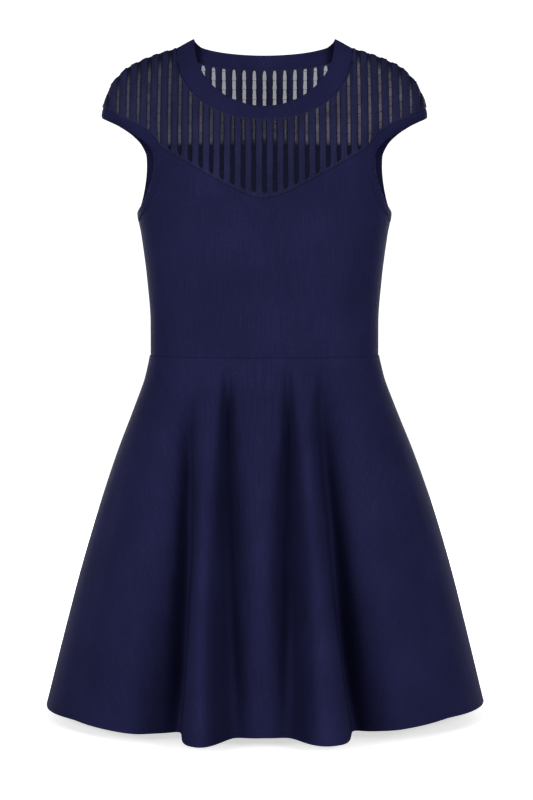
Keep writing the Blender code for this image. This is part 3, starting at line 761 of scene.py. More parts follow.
def waist_step(length_down):
    """How far the skirt's top edge stands out: a rounded lip at the seam that fades on the way down."""
    lip = math.sin(math.pi / 2 * min(length_down / WAIST_LIP_REACH, 1)) * WAIST_STEP
    return lip * max(1 - length_down / WAIST_STEP_HEIGHT, 0)


def skirt_level(side, drop, length_down):
    """Points along one level of one half of the skirt, with its folds."""
    turn = skirt_turns(side, drop)
    angle = np.radians(turn)
    squareness = skirt_squareness(drop)
    power = 2 / squareness
    depth = skirt_front(drop) if side == FRONT else skirt_back(drop)
    along, out = np.sin(angle), np.abs(np.cos(angle))
    x = skirt_half_width(drop) * np.sign(along) * np.abs(along) ** power
    y = side * depth * out**power
    slope_x = np.sign(x) * np.abs(x) ** (squareness - 1) / skirt_half_width(drop) ** squareness
    slope_y = side * np.abs(y) ** (squareness - 1) / depth**squareness
    steepness = np.hypot(slope_x, slope_y)
    rise = fold_rise(turn, drop) + waist_step(length_down)
    return located(x + rise * slope_x / steepness, y + rise * slope_y / steepness, drop)


half_hem = [float(lengths_along(skirt_level(side, HEM_DROP, 1), 0)[-1]) for side in (FRONT, BACK)]
print("along the hem, front and back:", [round(length, 3) for length in half_hem])

# %% [markdown]
# ### Hollows
#
# The folds get painted shade: in a hollow the colour of the cloth is darkened, on top of the shade that the
# lamps give. A mark says how much of the open air the cloth round each point hides: at every point the
# horizon is measured to both sides along its level, as a walker in a valley would see it. A small valley
# with sides of 45 degrees tries it out.

# %% Hollows of the skirt
HOLLOW_REACH = 80
LEAST_RUN = 1e-6


def hollows(surface):
    """How much of the air in front of each point its own level section hides: 0 on a ridge, up to 1."""
    level = surface[..., :2]
    along = np.gradient(level, axis=0)
    along /= np.linalg.norm(along, axis=-1, keepdims=True)
    out = np.stack([along[..., 1], -along[..., 0]], axis=-1)
    out *= np.sign(np.sum(out * level))
    open_share = np.zeros(level.shape[:2])
    for way in (1, -1):
        horizon = np.zeros(level.shape[:2])
        for steps in range(1, HOLLOW_REACH):
            there = np.clip(np.arange(len(level)) + way * steps, 0, len(level) - 1)
            towards = level[there] - level
            run, rise = np.sum(towards * along, axis=-1) * way, np.sum(towards * out, axis=-1)
            horizon = np.maximum(horizon, np.arctan2(np.maximum(rise, 0), np.maximum(run, LEAST_RUN)))
        open_share += np.cos(horizon) / 2
    return 1 - open_share


valley = np.array([[(-1, -2)], [(0, -1)], [(1, -2)]], float)
print("share of the air hidden at the valley's bottom:", round(float(hollows(valley)[1, 0]), 2))

# %% [markdown]
# ### Skirt panels
#
# Gravity stretches knitted cloth unevenly, so the hem is lifted or let down by a few millimetres at some
# turns. The flat map is a quarter ring, so the courses of stitches curve round the skirt as they do in cloth.
# It keeps the true length of every column, but towards the hem it gets wider than the worn cloth, by a sixth.

# %% Skirt panels
SKIRT_ROWS = 104
HEM_STEPS = (0, 0.0005, 0.0012, 0.0024)
FLAT_WAIST_RADIUS = 0.237
HEM_LIFTS = {
    -180: 0,
    -120: 0.0004,
    -60: 0.0008,
    -34: -0.0036,
    -22: -0.0020,
    0: -0.0012,
    26: -0.0024,
    42: 0.0012,
    58: 0.0046,
    80: 0.0046,
    120: 0.0010,
    180: 0,
}


def hem_lift(turn):
    """How far the hem is lifted from level at each turn, in degrees from the centre front."""
    return np.interp((turn + 180) % 360 - 180, list(HEM_LIFTS), list(HEM_LIFTS.values()))


def skirt(name, side):
    down = graded([HEM_DROP - WAIST_DROP], SEAM_STEPS, HEM_STEPS, SKIRT_ROWS)[0]
    surface = np.stack([skirt_level(side, WAIST_DROP + d, d) for d in down], axis=1)
    surface[[0, -1], :, 1] = 0
    surface[..., 2] += hem_lift(skirt_turns(side, HEM_DROP))[:, None] * (down / down[-1]) ** 2
    across = lengths_along(surface, 0)[:, -1]
    angle = (across / across[-1] - 0.5) * math.pi / 2
    radius = FLAT_WAIST_RADIUS + lengths_along(surface, 1)
    flat = np.stack([radius * np.sin(angle)[:, None], -radius * np.cos(angle)[:, None]], axis=-1)
    hems = across[-1], lengths_along(flat, 0)[-1, -1]
    print(name, "hem, worn and on the flat map:", [round(float(length), 3) for length in hems])
    # This mark is painted shade: the knit material darkens the cloth's colour by it, most in the folds.
    hollow = hollows(surface)
    print(name, "deepest hollow", round(float(hollow.max()), 2))
    return panel(name, surface, flat, CLOTH, {"hollow": hollow})


skirt_front_cloth = skirt("skirt_front_cloth", FRONT)
skirt_back_cloth = skirt("skirt_back_cloth", BACK)

# %% [markdown]
# ## The yokes
#
# The yoke is knitted in upright stripes: raised, opaque ribs alternate with strips of sheer net. The ribs are
# real relief here, because they scallop the outline of the shoulder and shade the net beside them. A painted
# stripe would do neither. On a strip of net the place of a column runs from -1 to 1 between its two edges,
# and on the rib after it from 1 to 3.

# %% Stripes of the yokes
STRIPES_EACH_SIDE = 15
PLAIN_FROM = (STRIPES_EACH_SIDE + 0.5) * RIB_PITCH
SHEER_HALF = 0.00255
NET_NARROWING = {0: 1, 0.14: 1, 0.17: 0.9, 0.18: 0.8, 0.19: 0.4}
NET_EDGE = 0.00015
NET_CLEAR = {FRONT: 0.42, BACK: 0.72}
NET_DENSE = {FRONT: 0.82, BACK: 1.0}
RIB_CROWN = 2
RIB_SECTION = (-1, -0.94, -0.8, -0.5, 0, 0.5, 0.8, 0.94, 1)
CAP_END = CAP_TIP - 0.0004


def net_half_width(stripe):
    """Half the width of one strip of net: narrower on the steep outer end of the caps."""
    narrowing = smooth_curve(list(NET_NARROWING), list(NET_NARROWING.values()))
    return SHEER_HALF * narrowing(abs(stripe) * RIB_PITCH)


def yoke_columns(side):
    """Each column's place across the yoke, the stripe it belongs to, and its place on that stripe.

    The crown of the outermost rib goes on as plain cloth to the tip of the cap.
    """
    net_places = (0, NET_CLEAR[side], NET_DENSE[side], 1)
    net_section = sorted({way * place for way in (-1, 1) for place in net_places})
    columns = []
    for stripe in range(-STRIPES_EACH_SIDE - 2, STRIPES_EACH_SIDE + 2):
        centre, half, next_half = stripe * RIB_PITCH, net_half_width(stripe), net_half_width(stripe + 1)
        columns += [(centre + half * place, stripe, place) for place in net_section]
        rib_start, rib_end = centre + half + NET_EDGE, centre + RIB_PITCH - next_half - NET_EDGE
        middle, rib_half = (rib_start + rib_end) / 2, (rib_end - rib_start) / 2
        columns += [(middle + rib_half * place, stripe, RIB_CROWN + place) for place in RIB_SECTION]
    kept = [
        (x, stripe, RIB_CROWN if abs(x) > PLAIN_FROM else place)
        for x, stripe, place in columns
        if abs(x) < CAP_END
    ]
    ends = [(-CAP_END, -STRIPES_EACH_SIDE - 1, RIB_CROWN), (CAP_END, STRIPES_EACH_SIDE, RIB_CROWN)]
    return [np.array(part)[:, None] for part in zip(*sorted(kept + ends))]


print("columns of the yokes:", [len(yoke_columns(side)[0]) for side in (FRONT, BACK)])

# %% [markdown]
# ### Edges of the net
#
# No edge of knitted net is straight. Every few rows a thicker thread, a tick, ties the net from rib to rib:
# above each tick the net spreads, and below it the edge starts again from its narrowest place. Between ticks
# the edge wanders with the single stitches, and near its two ends a strip gets narrower.

# %% Edges of the net
TICK_PITCH = 0.0127
TICK_OFFSET = 0.06
TICK_SHARE = 0.12
MEAN_PINCH = 0.6
EDGE_PINCH = {FRONT: 0.00022, BACK: 0.00060}
EDGE_WANDER = 0.00022
LONG_WANDER, SHORT_WANDER = 0.0036, 0.0014
LONG_SHARE, SHORT_SHARE = 0.6, 0.4
STRIPE_PHASE, EDGE_PHASE, SHORT_PHASE = 2.4, 5.1, 2.3
END_TAPER = 0.0010
END_TAPER_REACH = 0.0015


def edge_shift(side, stripe, way, level, near_end):
    """How far one edge of a strip of net lies from its straight line.

    The way is -1 for the strip's low edge and 1 for its high one.
    """
    from_tick = (level / TICK_PITCH + TICK_OFFSET) % 1
    pinch = EDGE_PINCH[side] * (MEAN_PINCH - from_tick) * np.clip(from_tick / TICK_SHARE, 0, 1)
    phase = STRIPE_PHASE * stripe + EDGE_PHASE * way
    long, short = np.sin(level / LONG_WANDER + phase), np.sin(level / SHORT_WANDER + SHORT_PHASE * phase)
    taper = END_TAPER * np.exp(-np.clip(near_end, 0, None) / END_TAPER_REACH)
    return EDGE_WANDER * (LONG_SHARE * long + SHORT_SHARE * short) - way * (pinch + taper)


print("ladder threads lie every", round(1000 * TICK_PITCH, 1), "mm")

# %% [markdown]
# ### Borders and margins of a yoke
#
# Every strip of net stops short of the yoke's edge, in a plain margin that is widest at the middle.
# Along the neck the yoke ends on the band's seam, over the shoulder on the top line, by the arm on the
# armhole's seam, and below on its own lower edge, so each column has borders of its own.

# %% Borders and margins of a yoke
SEAM_LAP = 0.0009
MARGIN_HALFWAY = 0.06
YOKE_MARGIN = {"middle": 0.0056, "edge": 0.0034, "armhole": 0.0030}
WIDEST_MARGIN_SHARE = 0.35

YokeBorder = namedtuple("YokeBorder", "on_neck by_armhole top bottom")


def yoke_border(x, side):
    """The drops of a yoke's edges in each column, and whether they lie on the neck and by the armhole."""
    on_neck, by_armhole = np.abs(x) < NECK_SEAM.half_width, np.abs(x) > CORNER[side]
    top = np.where(on_neck, neck_drop(NECK_SEAM, x, side), shoulder_drop(x))
    seam = armhole_loop(ARM_SEAM, -side * np.linspace(0, yoke_corner_turn(side), FINE))
    seam_drop = np.interp(-np.abs(x), -seam[:, 0], drops_of(seam))
    return YokeBorder(on_neck, by_armhole, top, np.where(by_armhole, seam_drop, yoke_edge(x, side)))


def yoke_margin(x, side, by_armhole, whole):
    """How wide the plain margin along the lower edge is in each column."""
    stations = (0, MARGIN_HALFWAY, CORNER[side])
    widths = [YOKE_MARGIN[place] for place in ("middle", "edge", "edge")]
    by_edge = smooth_curve(stations, widths)(np.minimum(np.abs(x), CORNER[side]))
    return np.minimum(np.where(by_armhole, YOKE_MARGIN["armhole"], by_edge), WIDEST_MARGIN_SHARE * whole)


middle_border = yoke_border(np.zeros((1, 1)), FRONT)
print("front yoke's drop at the middle:", middle_border.top.item(), "to", middle_border.bottom.item())

# %% [markdown]
# ### Rows of a yoke
#
# A column has three rows above its stripes, an even run of rows on them, six rows in the margin below and one
# more that laps under the bands or the bodice's edge, so that no light shows through the seams. Distances are
# measured down each column, over the surface, because the steep outer columns are much longer than a view
# from the front shows. The levels of the ticks are counted from one height, so they line up across the yoke.

# %% Rows of a yoke
ROWS_ABOVE = 3
YOKE_ROWS = 66
NET_ROWS = slice(ROWS_ABOVE, ROWS_ABOVE + YOKE_ROWS)
NECK_MARGIN = {FRONT: 0.0018, BACK: 0.0034}
SHOULDER_STEP = 0.0004
MARGIN_BLEND, LARGEST_BLEND_SHARE = 0.0006, 0.1
MARGIN_STEPS = (1, 0.6, 0.25, 0.1, 0.03, 0)
BY_NECK_MARGIN = 0.98
TICK_LEVEL_DROP = 0.115

YokeRows = namedtuple("YokeRows", "length drop level start whole below first last")


def read_off(at, stations, values):
    """Reads a curve in each column, where each column has stations and values of its own."""
    return np.array([np.interp(*column) for column in zip(at, stations, values)])


def yoke_rows(x, side, border):
    """How far down its column each row lies, with its drop and where the stripes start and end."""
    on_neck, top = border.on_neck, border.top
    lapped_top = np.where(on_neck, np.maximum(top - SEAM_LAP, shoulder_drop(x)), top)
    fine = lapped_top + (border.bottom + SEAM_LAP - lapped_top) * np.linspace(0, 1, FINE) ** 2
    along = lengths_along(located(x, torso_depth(x, fine, side), fine), 1)
    start, whole = read_off(top, fine, along), read_off(border.bottom, fine, along)
    below = yoke_margin(x, side, border.by_armhole, whole)
    above = start + NECK_MARGIN[side]
    blend = np.minimum(MARGIN_BLEND, LARGEST_BLEND_SHARE * whole)
    first, last = np.where(on_neck, above + blend, ROWS_ABOVE * SHOULDER_STEP), whole - below - blend
    rows_above = (0 * start, start, start + BY_NECK_MARGIN * (above - start))
    length = [np.where(on_neck, row, k * SHOULDER_STEP) for k, row in enumerate(rows_above)]
    length += [first + (last - first) * np.linspace(0, 1, YOKE_ROWS), whole - below * MARGIN_STEPS]
    length = np.concatenate([*length, along[:, -1:]], axis=1)
    level = length - read_off(np.full_like(start, TICK_LEVEL_DROP), fine, along)
    return YokeRows(length, read_off(length, along, fine), level, start, whole, below, first, last)


print("rows of a yoke:", ROWS_ABOVE + YOKE_ROWS + len(MARGIN_STEPS) + 1)

# %% [markdown]
# ### Relief of a yoke
#
# A rib has a round crown, higher in the middle and falling steeply at its edges, and the net sags a little
# between two ribs. At the seams the relief ends in a rounded lip, and the lapped rows sink under their
# neighbours.

# %% Relief of a yoke
RIB_RISE = 0.0011
RIB_ROUNDNESS = 3.0
NET_SINK = 0.0003
LIP_REACH = 0.0008
LIP_LEAST = 0.2
LAP_SINK = {"band": 0.00015, "bodice": 0.0007}


def yoke_relief(place, striped, rows, border):
    """How far each point of a yoke stands out from the torso."""
    on_rib = place > 1
    crown = np.clip(1 - np.abs(place - RIB_CROWN) ** RIB_ROUNDNESS, 0, 1) ** 0.5
    rise = np.where(striped > 0, np.where(on_rib, crown, 0), 1) * RIB_RISE
    rise -= np.where(on_rib, 0, striped) * NET_SINK * (1 - place**2)
    lip = np.clip((rows.whole - rows.length) / LIP_REACH, 0, 1)
    rise *= np.sqrt(1 - (1 - lip) ** 2) * (1 - LIP_LEAST) + LIP_LEAST
    rise[:, :1] = np.where(border.on_neck, -LAP_SINK["band"], rise[:, :1])
    rise[:, -1:] = np.where(border.by_armhole, -LAP_SINK["band"], -LAP_SINK["bodice"])
    return rise


print("ribs stand out by", round(1000 * (RIB_RISE + NET_SINK), 1), "mm from the middle of the net")

# %% [markdown]
# ### Marks of the net
#
# One mark says where the net is, and a second how close to a rib, where the mesh is denser and gets
# painted shade, as it does close under the shoulder seams. A third mark is painted light, which makes the
# fine threads paler where daylight would fall in through the other yoke: above the back yoke's lower edge,
# most towards the shoulders, but not close under the shoulder seams.

# %% Marks of the net
# Painted light: how pale the net's threads are painted, by drop and across the yoke.
BACKLIT_DROP = 0.1295
BACKLIT_BLEND = 0.0025
BACKLIT_ACROSS = {
    -0.188: 0.10,
    -0.178: 0.50,
    -0.07: 0.42,
    -0.03: 0.12,
    0: 0.06,
    0.03: 0.14,
    0.07: 0.72,
    0.178: 0.75,
    0.188: 0.10,
}
SHADED_SHOULDER = (0.006, 0.020)
SHADED_LEAST = 0.15
SHOULDER_DENSE_AND_SHADED = 0.75


def net_marks(x, place, striped, drop, side):
    """Where a yoke is net, how dense and how shaded its mesh is, and how much painted backlight it gets."""
    net = striped * (place <= 1)
    towards_rib = (np.abs(place) - NET_CLEAR[side]) / (NET_DENSE[side] - NET_CLEAR[side])
    # Close under the shoulder seams the net gets painted shade: less painted light, and the dense dark tone.
    clear_of_shoulder = np.interp(drop - shoulder_drop(x), SHADED_SHOULDER, (SHADED_LEAST, 1))
    near_shoulder = SHOULDER_DENSE_AND_SHADED * (1 - clear_of_shoulder)
    fringe = np.maximum(np.clip(towards_rib, 0, 1) * net, near_shoulder * net)
    above_edge = np.clip((BACKLIT_DROP - drop) / BACKLIT_BLEND, 0, 1)
    across = smooth_curve(list(BACKLIT_ACROSS), list(BACKLIT_ACROSS.values()))(x)
    return {"net": net, "fringe": fringe, "backlit": above_edge * clear_of_shoulder * across}


print("daylight comes through above a drop of", BACKLIT_DROP)

# %% [markdown]
# ### Yoke panels
#
# Now the pieces of the yoke come together: columns, rows, the wandering edges of the net, relief and marks.
# Between its two edges a column keeps its share of the stripe's width, and near a seam it goes back to its
# straight line, so that the panel still fits its neighbours.

# %% Yoke panels
YOKE_CLOTH = 0.0008
TOP_ROOM = 0.0033

YokeGrid = namedtuple("YokeGrid", "stripe place level points")


def column_shift(side, stripe, place, rows, on_neck):
    """How far each point of a stripe is moved across by the wander of the stripe's two edges."""
    on_rib = place > 1
    near_end = np.minimum(np.where(on_neck, rows.length - rows.first, 1), rows.last - rows.length)
    edges = [(stripe, -1), (stripe, 1), (stripe + 1, -1)]
    net_low, net_high, next_low = (edge_shift(side, *edge, rows.level, near_end) for edge in edges)
    low, high = np.where(on_rib, net_high, net_low), np.where(on_rib, next_low, net_high)
    share = np.where(on_rib, (place - 1) / 2, (place + 1) / 2)
    return low + (high - low) * share


def yoke(name, side):
    x0, stripe, place = yoke_columns(side)
    border = yoke_border(x0, side)
    rows = yoke_rows(x0, side, border)
    striped = np.zeros_like(rows.length)
    striped[:, NET_ROWS] = 1
    striped[:, :ROWS_ABOVE] = ~border.on_neck

    off_lower_edge = np.clip((rows.whole - rows.length) / rows.below, 0, 1)
    off_seams = off_lower_edge * np.clip((rows.length - rows.start) / TOP_ROOM, 0, 1)
    off_seams *= np.abs(x0) < PLAIN_FROM
    x = x0 + column_shift(side, stripe, place, rows, border.on_neck) * off_seams
    surface = located(x, torso_depth(x, rows.drop, side), rows.drop)
    points = surface + torso_normals(surface) * yoke_relief(place, striped, rows, border)[..., None]
    flat = np.stack(np.broadcast_arrays(x0, -rows.length), axis=-1)
    piece = panel(name, points, flat, YOKE_CLOTH, net_marks(x0, place, striped, rows.drop, side))
    return piece, YokeGrid(stripe[:, 0], place[:, 0], rows.level, points)


yoke_front, front_grid = yoke("yoke_front_cloth", FRONT)
yoke_back, back_grid = yoke("yoke_back_cloth", BACK)

# %% [markdown]
# ## Threads across the net
#
# At each tick one thicker thread runs across from rib to rib, which gives each strip its ladder. There are
# hundreds of them, all alike, so one plain thread is taken from a cylinder, its points are copied to every
# place at once, and the copies are joined in one mesh.


# %% Many copies of one small shape
def unit(vector):
    return vector / np.linalg.norm(vector, axis=-1, keepdims=True)


def copies_of(name, add_template, places):
    """One mesh of many copies of a template. Each copy has a centre and three axes, in metres."""
    bpy.ops.object.select_all(action="DESELECT")
    add_template()
    piece = bpy.context.object
    piece.name = piece.data.name = name
    points = np.array([tuple(vertex.co) for vertex in piece.data.vertices])
    faces = [tuple(polygon.vertices) for polygon in piece.data.polygons]
    centres, axes = (np.array(part) for part in zip(*places))
    everywhere = centres[:, None] + np.einsum("pk,nkc->npc", points, axes)
    joined = [tuple(v + n * len(points) for v in face) for n in range(len(places)) for face in faces]
    piece.data.clear_geometry()
    piece.data.from_pydata(everywhere.reshape(-1, 3).tolist(), [], joined)
    piece.data.shade_smooth()
    print(name, "copies:", len(places), "faces:", len(piece.data.polygons))
    return piece


print("copying helpers:", [helper.__name__ for helper in (unit, copies_of)])

# %% [markdown]
# ### Ladder threads
#
# A thread starts and ends on the two edges of its strip, so both edges are read from the yoke's grid at the
# level of the tick. It is a little longer than the gap, so its ends sink into the ribs.

# %% Ladder threads
THREAD_RADIUS = 0.00022
THREAD_SIDES = 6
THREAD_OVERLENGTH = 1.06


def add_thread():
    bpy.ops.mesh.primitive_cylinder_add(vertices=THREAD_SIDES, radius=1, depth=1)


def ladder_places(grid):
    """Where a thread lies across each strip, at every tick that falls on it."""
    places = []
    rows = slice(NET_ROWS.start + 1, NET_ROWS.stop - 1)
    for stripe in range(-STRIPES_EACH_SIDE, STRIPES_EACH_SIDE + 1):
        edges = [np.flatnonzero((grid.stripe == stripe) & (grid.place == way)) for way in (-1, 1)]
        if min(len(edge) for edge in edges) == 0:
            continue
        levels = [grid.level[edge[0], rows] for edge in edges]
        points = [grid.points[edge[0], rows] for edge in edges]
        first = math.ceil(max(level[0] for level in levels) / TICK_PITCH)
        last = math.floor(min(level[-1] for level in levels) / TICK_PITCH)
        for at in (tick * TICK_PITCH for tick in range(first, last + 1)):
            low, high = (
                np.array([np.interp(at, level, line[:, k]) for k in range(3)])
                for level, line in zip(levels, points)
            )
            out = unit(np.array([0, np.sign(low[1]), 0.0]))
            up = unit(np.cross(high - low, out))
            axes = (THREAD_RADIUS * out, THREAD_RADIUS * up, (high - low) * THREAD_OVERLENGTH)
            places.append(((low + high) / 2, axes))
    return places


ladder_front = copies_of("yoke_front_ladder", add_thread, ladder_places(front_grid))
ladder_back = copies_of("yoke_back_ladder", add_thread, ladder_places(back_grid))

# %% [markdown]
# ## The bands
#
# Neck and armholes are finished with bands knitted double and folded over, so the free edge is a soft fold
# and the other edge lies on the seam. A torus is already a closed ring of cloth: its long way round follows
# the opening, and its section is pressed into the band's flat shape with rounded edges.


# %% A ring of cloth from a torus
def tube(name, loops, flat):
    """A closed ring of cloth from a torus, through points [round the ring][round its section]."""
    around, section = loops.shape[:2]
    bpy.ops.object.select_all(action="DESELECT")
    bpy.ops.mesh.primitive_torus_add(major_segments=around, minor_segments=section)
    piece = bpy.context.object
    piece.name = piece.data.name = name
    place_points(piece, loops)
    map_flat(piece, flat.reshape(-1, 2))
    bpy.ops.object.mode_set(mode="EDIT")
    bpy.ops.mesh.select_all(action="SELECT")
    bpy.ops.mesh.normals_make_consistent(inside=False)
    bpy.ops.object.mode_set(mode="OBJECT")
    print(name, "faces:", len(piece.data.polygons))
    return piece


def between(first, last, share):
    """The edge that lies at this share of the way between two edges of one opening."""
    return type(first)(*(a + (b - a) * share for a, b in zip(first, last)))


neck_middle = between(NECK_OPENING, NECK_SEAM, 0.5)
print("half the width of the neck band's middle line:", round(neck_middle.half_width, 4))

# %% [markdown]
# ### Neck band
#
# At each shoulder the neck band folds over the ridge of the shoulder: its free edge is lifted there, and its
# inner face gets painted shade, by the same mark as the skirt's hollows. The section is a flattened oval: a
# circle whose sine and cosine are raised to powers under one, so its faces are flat and its edges round.

# %% Neck band
BAND = 0.0021
BAND_RISE = 0.0005
BAND_SECTION = 20
EDGE_POWER, FACE_POWER = 0.75, 0.5
LIFTED_FROM = 0.9
FOLD_SHADES = {0.074: 0, 0.081: 0.9}


def band(name, loop, opening, seam, turns, width, stand=0.0):
    """A ring of cloth between two edges of an opening: a flattened oval section, swept round.

    The stand is how far its free edge is lifted where the opening is widest, with a fold over the shoulder.
    """
    angles = np.linspace(0, 2 * math.pi, BAND_SECTION, endpoint=False)
    across = np.sign(np.cos(angles)) * np.abs(np.cos(angles)) ** EDGE_POWER
    up = np.sign(np.sin(angles)) * np.abs(np.sin(angles)) ** FACE_POWER
    surface = np.stack([loop(between(opening, seam, 0.5 + 0.5 * a), turns) for a in across], axis=1)
    height = BAND_RISE - BAND / 2 + BAND / 2 * up
    points = surface + torso_normals(surface) * height[None, :, None]
    out = np.abs(points[..., 0])
    at_widest = np.clip((out / out.max(axis=0) - LIFTED_FROM) / (1 - LIFTED_FROM), 0, 1)
    points[..., 2] += stand * (0.5 - 0.5 * across) * at_widest
    around = lengths_along(points[:, 0], 0)
    flat = np.stack(np.broadcast_arrays(around[:, None], width * angles / math.pi), axis=-1)
    piece = tube(name, points, flat)
    # Painted shade: the band's inner face is darkened where it folds over the shoulder.
    folded = np.interp(out, list(FOLD_SHADES), list(FOLD_SHADES.values())) * (up < 0) * (stand > 0)
    mark_points(piece, "hollow", folded)
    return piece


NECK_COLUMNS = 256
NECK_BAND_WIDTH = 0.016
NECK_BAND_STAND = 0.003
neck_turns = np.linspace(0, 2 * math.pi, NECK_COLUMNS, endpoint=False)
neck_band = band(
    "neck_band_cloth", neck_loop, NECK_OPENING, NECK_SEAM, neck_turns, NECK_BAND_WIDTH, NECK_BAND_STAND
)

# %% [markdown]
# ### Armhole bands
#
# The dress is cut the same left and right, so the band of the left armhole is copied and mirrored. A mirrored
# mesh is applied at once, so that its place is in its points, and Blender then turns its faces the right way.

# %% Armhole bands
ARM_COLUMNS = 240
ARM_BAND_WIDTH = 0.0115
arm_turns = np.linspace(-math.pi, math.pi, ARM_COLUMNS, endpoint=False)
arm_band_left = band(
    "armhole_band_left_cloth", armhole_loop, ARM_OPENING, ARM_SEAM, arm_turns, ARM_BAND_WIDTH
)
bpy.ops.object.select_all(action="DESELECT")
arm_band_left.select_set(True)
bpy.context.view_layer.objects.active = arm_band_left
bpy.ops.object.duplicate()
arm_band_right = bpy.context.object
arm_band_right.name = arm_band_right.data.name = "armhole_band_right_cloth"
bpy.ops.transform.mirror(
    constraint_axis=(True, False, False), orient_type="GLOBAL", center_override=(0, 0, 0)
)
bpy.ops.object.transform_apply(location=True, rotation=True, scale=True)
print("right band at x from", round(min(vertex.co.x for vertex in arm_band_right.data.vertices), 3))

# %% [markdown]
# ## Linked seams
#
# Knitted pieces are joined loop by loop on a linking machine, which leaves a fine row of slanted stitches in
# the groove between them. One stitch is a small stretched ball, copied along each seam line.

# %% One stitch and its places
STITCH_PITCH = 0.0019
STITCH_HALF_LENGTH = 0.00105
STITCH_HALF_WIDTH = 0.00042
STITCH_SLANT = math.radians(24)
STITCH_SINK = 0.00015
STITCH_SEGMENTS, STITCH_RINGS = 6, 4


def add_stitch():
    bpy.ops.mesh.primitive_uv_sphere_add(segments=STITCH_SEGMENTS, ring_count=STITCH_RINGS, radius=1)


def stitch_places(path):
    """Where the stitches lie along a seam line: evenly, slanted, and sunk a little into the groove."""
    walked = lengths_along(path, 0)
    count = round(walked[-1] / STITCH_PITCH)
    at = (np.arange(count) + 0.5) * walked[-1] / count
    centres = np.stack([np.interp(at, walked, path[:, k]) for k in range(3)], axis=-1)
    along = unit(np.stack([np.interp(at, walked, slope) for slope in np.gradient(path, axis=0).T], axis=-1))
    out = torso_normals(centres)
    beside = unit(np.cross(out, along))
    slanted = unit(along * math.cos(STITCH_SLANT) + beside * math.sin(STITCH_SLANT))
    across = np.cross(out, slanted)
    axes = (STITCH_HALF_LENGTH * slanted, STITCH_HALF_WIDTH * across, STITCH_HALF_WIDTH * out)
    return list(zip(centres - STITCH_SINK * out, np.stack(axes, axis=1)))


print("stitches to 10 cm of seam:", round(0.1 / STITCH_PITCH))

# %% [markdown]
# ### The seams
#
# The stitches follow the same lines on which the pieces were made to meet: round the neck, the armholes and
# the waist, along both yokes' lower edges and over the shoulders.

# %% Stitches along the seams
LINE_POINTS = {"loop": 400, "yoke": 240, "waist": 160, "shoulder": 80}


def yoke_line(side):
    """The seam line of a yoke's lower edge, from armhole to armhole."""
    x = np.linspace(-CORNER[side], CORNER[side], LINE_POINTS["yoke"])
    return located(x, torso_depth(x, yoke_edge(x, side), side), yoke_edge(x, side))


def shoulder_line(way):
    """The seam line over one shoulder, from the neck's seam to the armhole's."""
    x = way * np.linspace(NECK_SEAM.half_width, CAP_TIP, LINE_POINTS["shoulder"])
    return located(x, np.zeros_like(x), shoulder_drop(x))


def waist_line():
    """The seam line round the waist."""
    reach = np.linspace(0, math.pi, LINE_POINTS["waist"])
    front, back = torso_at(reach, WAIST_DROP, FRONT), torso_at(reach[::-1], WAIST_DROP, BACK)
    return np.concatenate([front, back[1:]])


loop_turns = np.linspace(0, 2 * math.pi, LINE_POINTS["loop"])
arm_line = armhole_loop(ARM_SEAM, loop_turns - math.pi)
seam_lines = {
    "neck_linking": neck_loop(NECK_SEAM, loop_turns),
    "armhole_linking_left": arm_line,
    "armhole_linking_right": arm_line * (-1, 1, 1),
    "yoke_front_linking": yoke_line(FRONT),
    "yoke_back_linking": yoke_line(BACK),
    "waist_linking": waist_line(),
    "shoulder_linking_left": shoulder_line(1),
    "shoulder_linking_right": shoulder_line(-1),
}
linking = [copies_of(name, add_stitch, stitch_places(line)) for name, line in seam_lines.items()]

# %% [markdown]
# ## Knit materials
#
# The cloth is a fine, matt jersey in deep navy. Its finish is worked out from a few sums on where a point
# lies, and in Blender each sum is a node. A small class wraps a socket, so that this shader maths reads as
# ordinary Python: adding two values adds a Math node.


# %% A shader value
class Value:
    """A shader socket that can be used in Python expressions."""

    def __init__(self, recipe, socket):
        self.recipe, self.socket = recipe, socket

    def maths(self, operation, *operands):
        return self.recipe.node("ShaderNodeMath", {"operation": operation}, dict(enumerate(operands)))

    def __add__(self, other):
        return self.maths("ADD", self, other)

    def __sub__(self, other):
        return self.maths("SUBTRACT", self, other)

    def __rsub__(self, other):
        return self.maths("SUBTRACT", other, self)

    def __mul__(self, other):
        return self.maths("MULTIPLY", self, other)

    __radd__ = __add__
    __rmul__ = __mul__

    def sine(self):
        return self.maths("SINE", self)

    def size(self):
        return self.maths("ABSOLUTE", self)

    def part(self):
        return self.maths("FRACT", self)

    def between(self, low, high):
        """0 up to low, 1 from high on, and a smooth rise between."""
        inputs = {"Value": self, "From Min": low, "From Max": high}
        return self.recipe.node("ShaderNodeMapRange", {"interpolation_type": "SMOOTHSTEP"}, inputs)


print("shader sums ready:", [name for name in vars(Value) if not name.startswith("_")])

# %% [markdown]
# ### A material's recipe
#
# A recipe holds one material and adds its nodes. Every node comes from one method, which makes its settings
# first and then fills its inputs, with plain values or with links from other nodes.


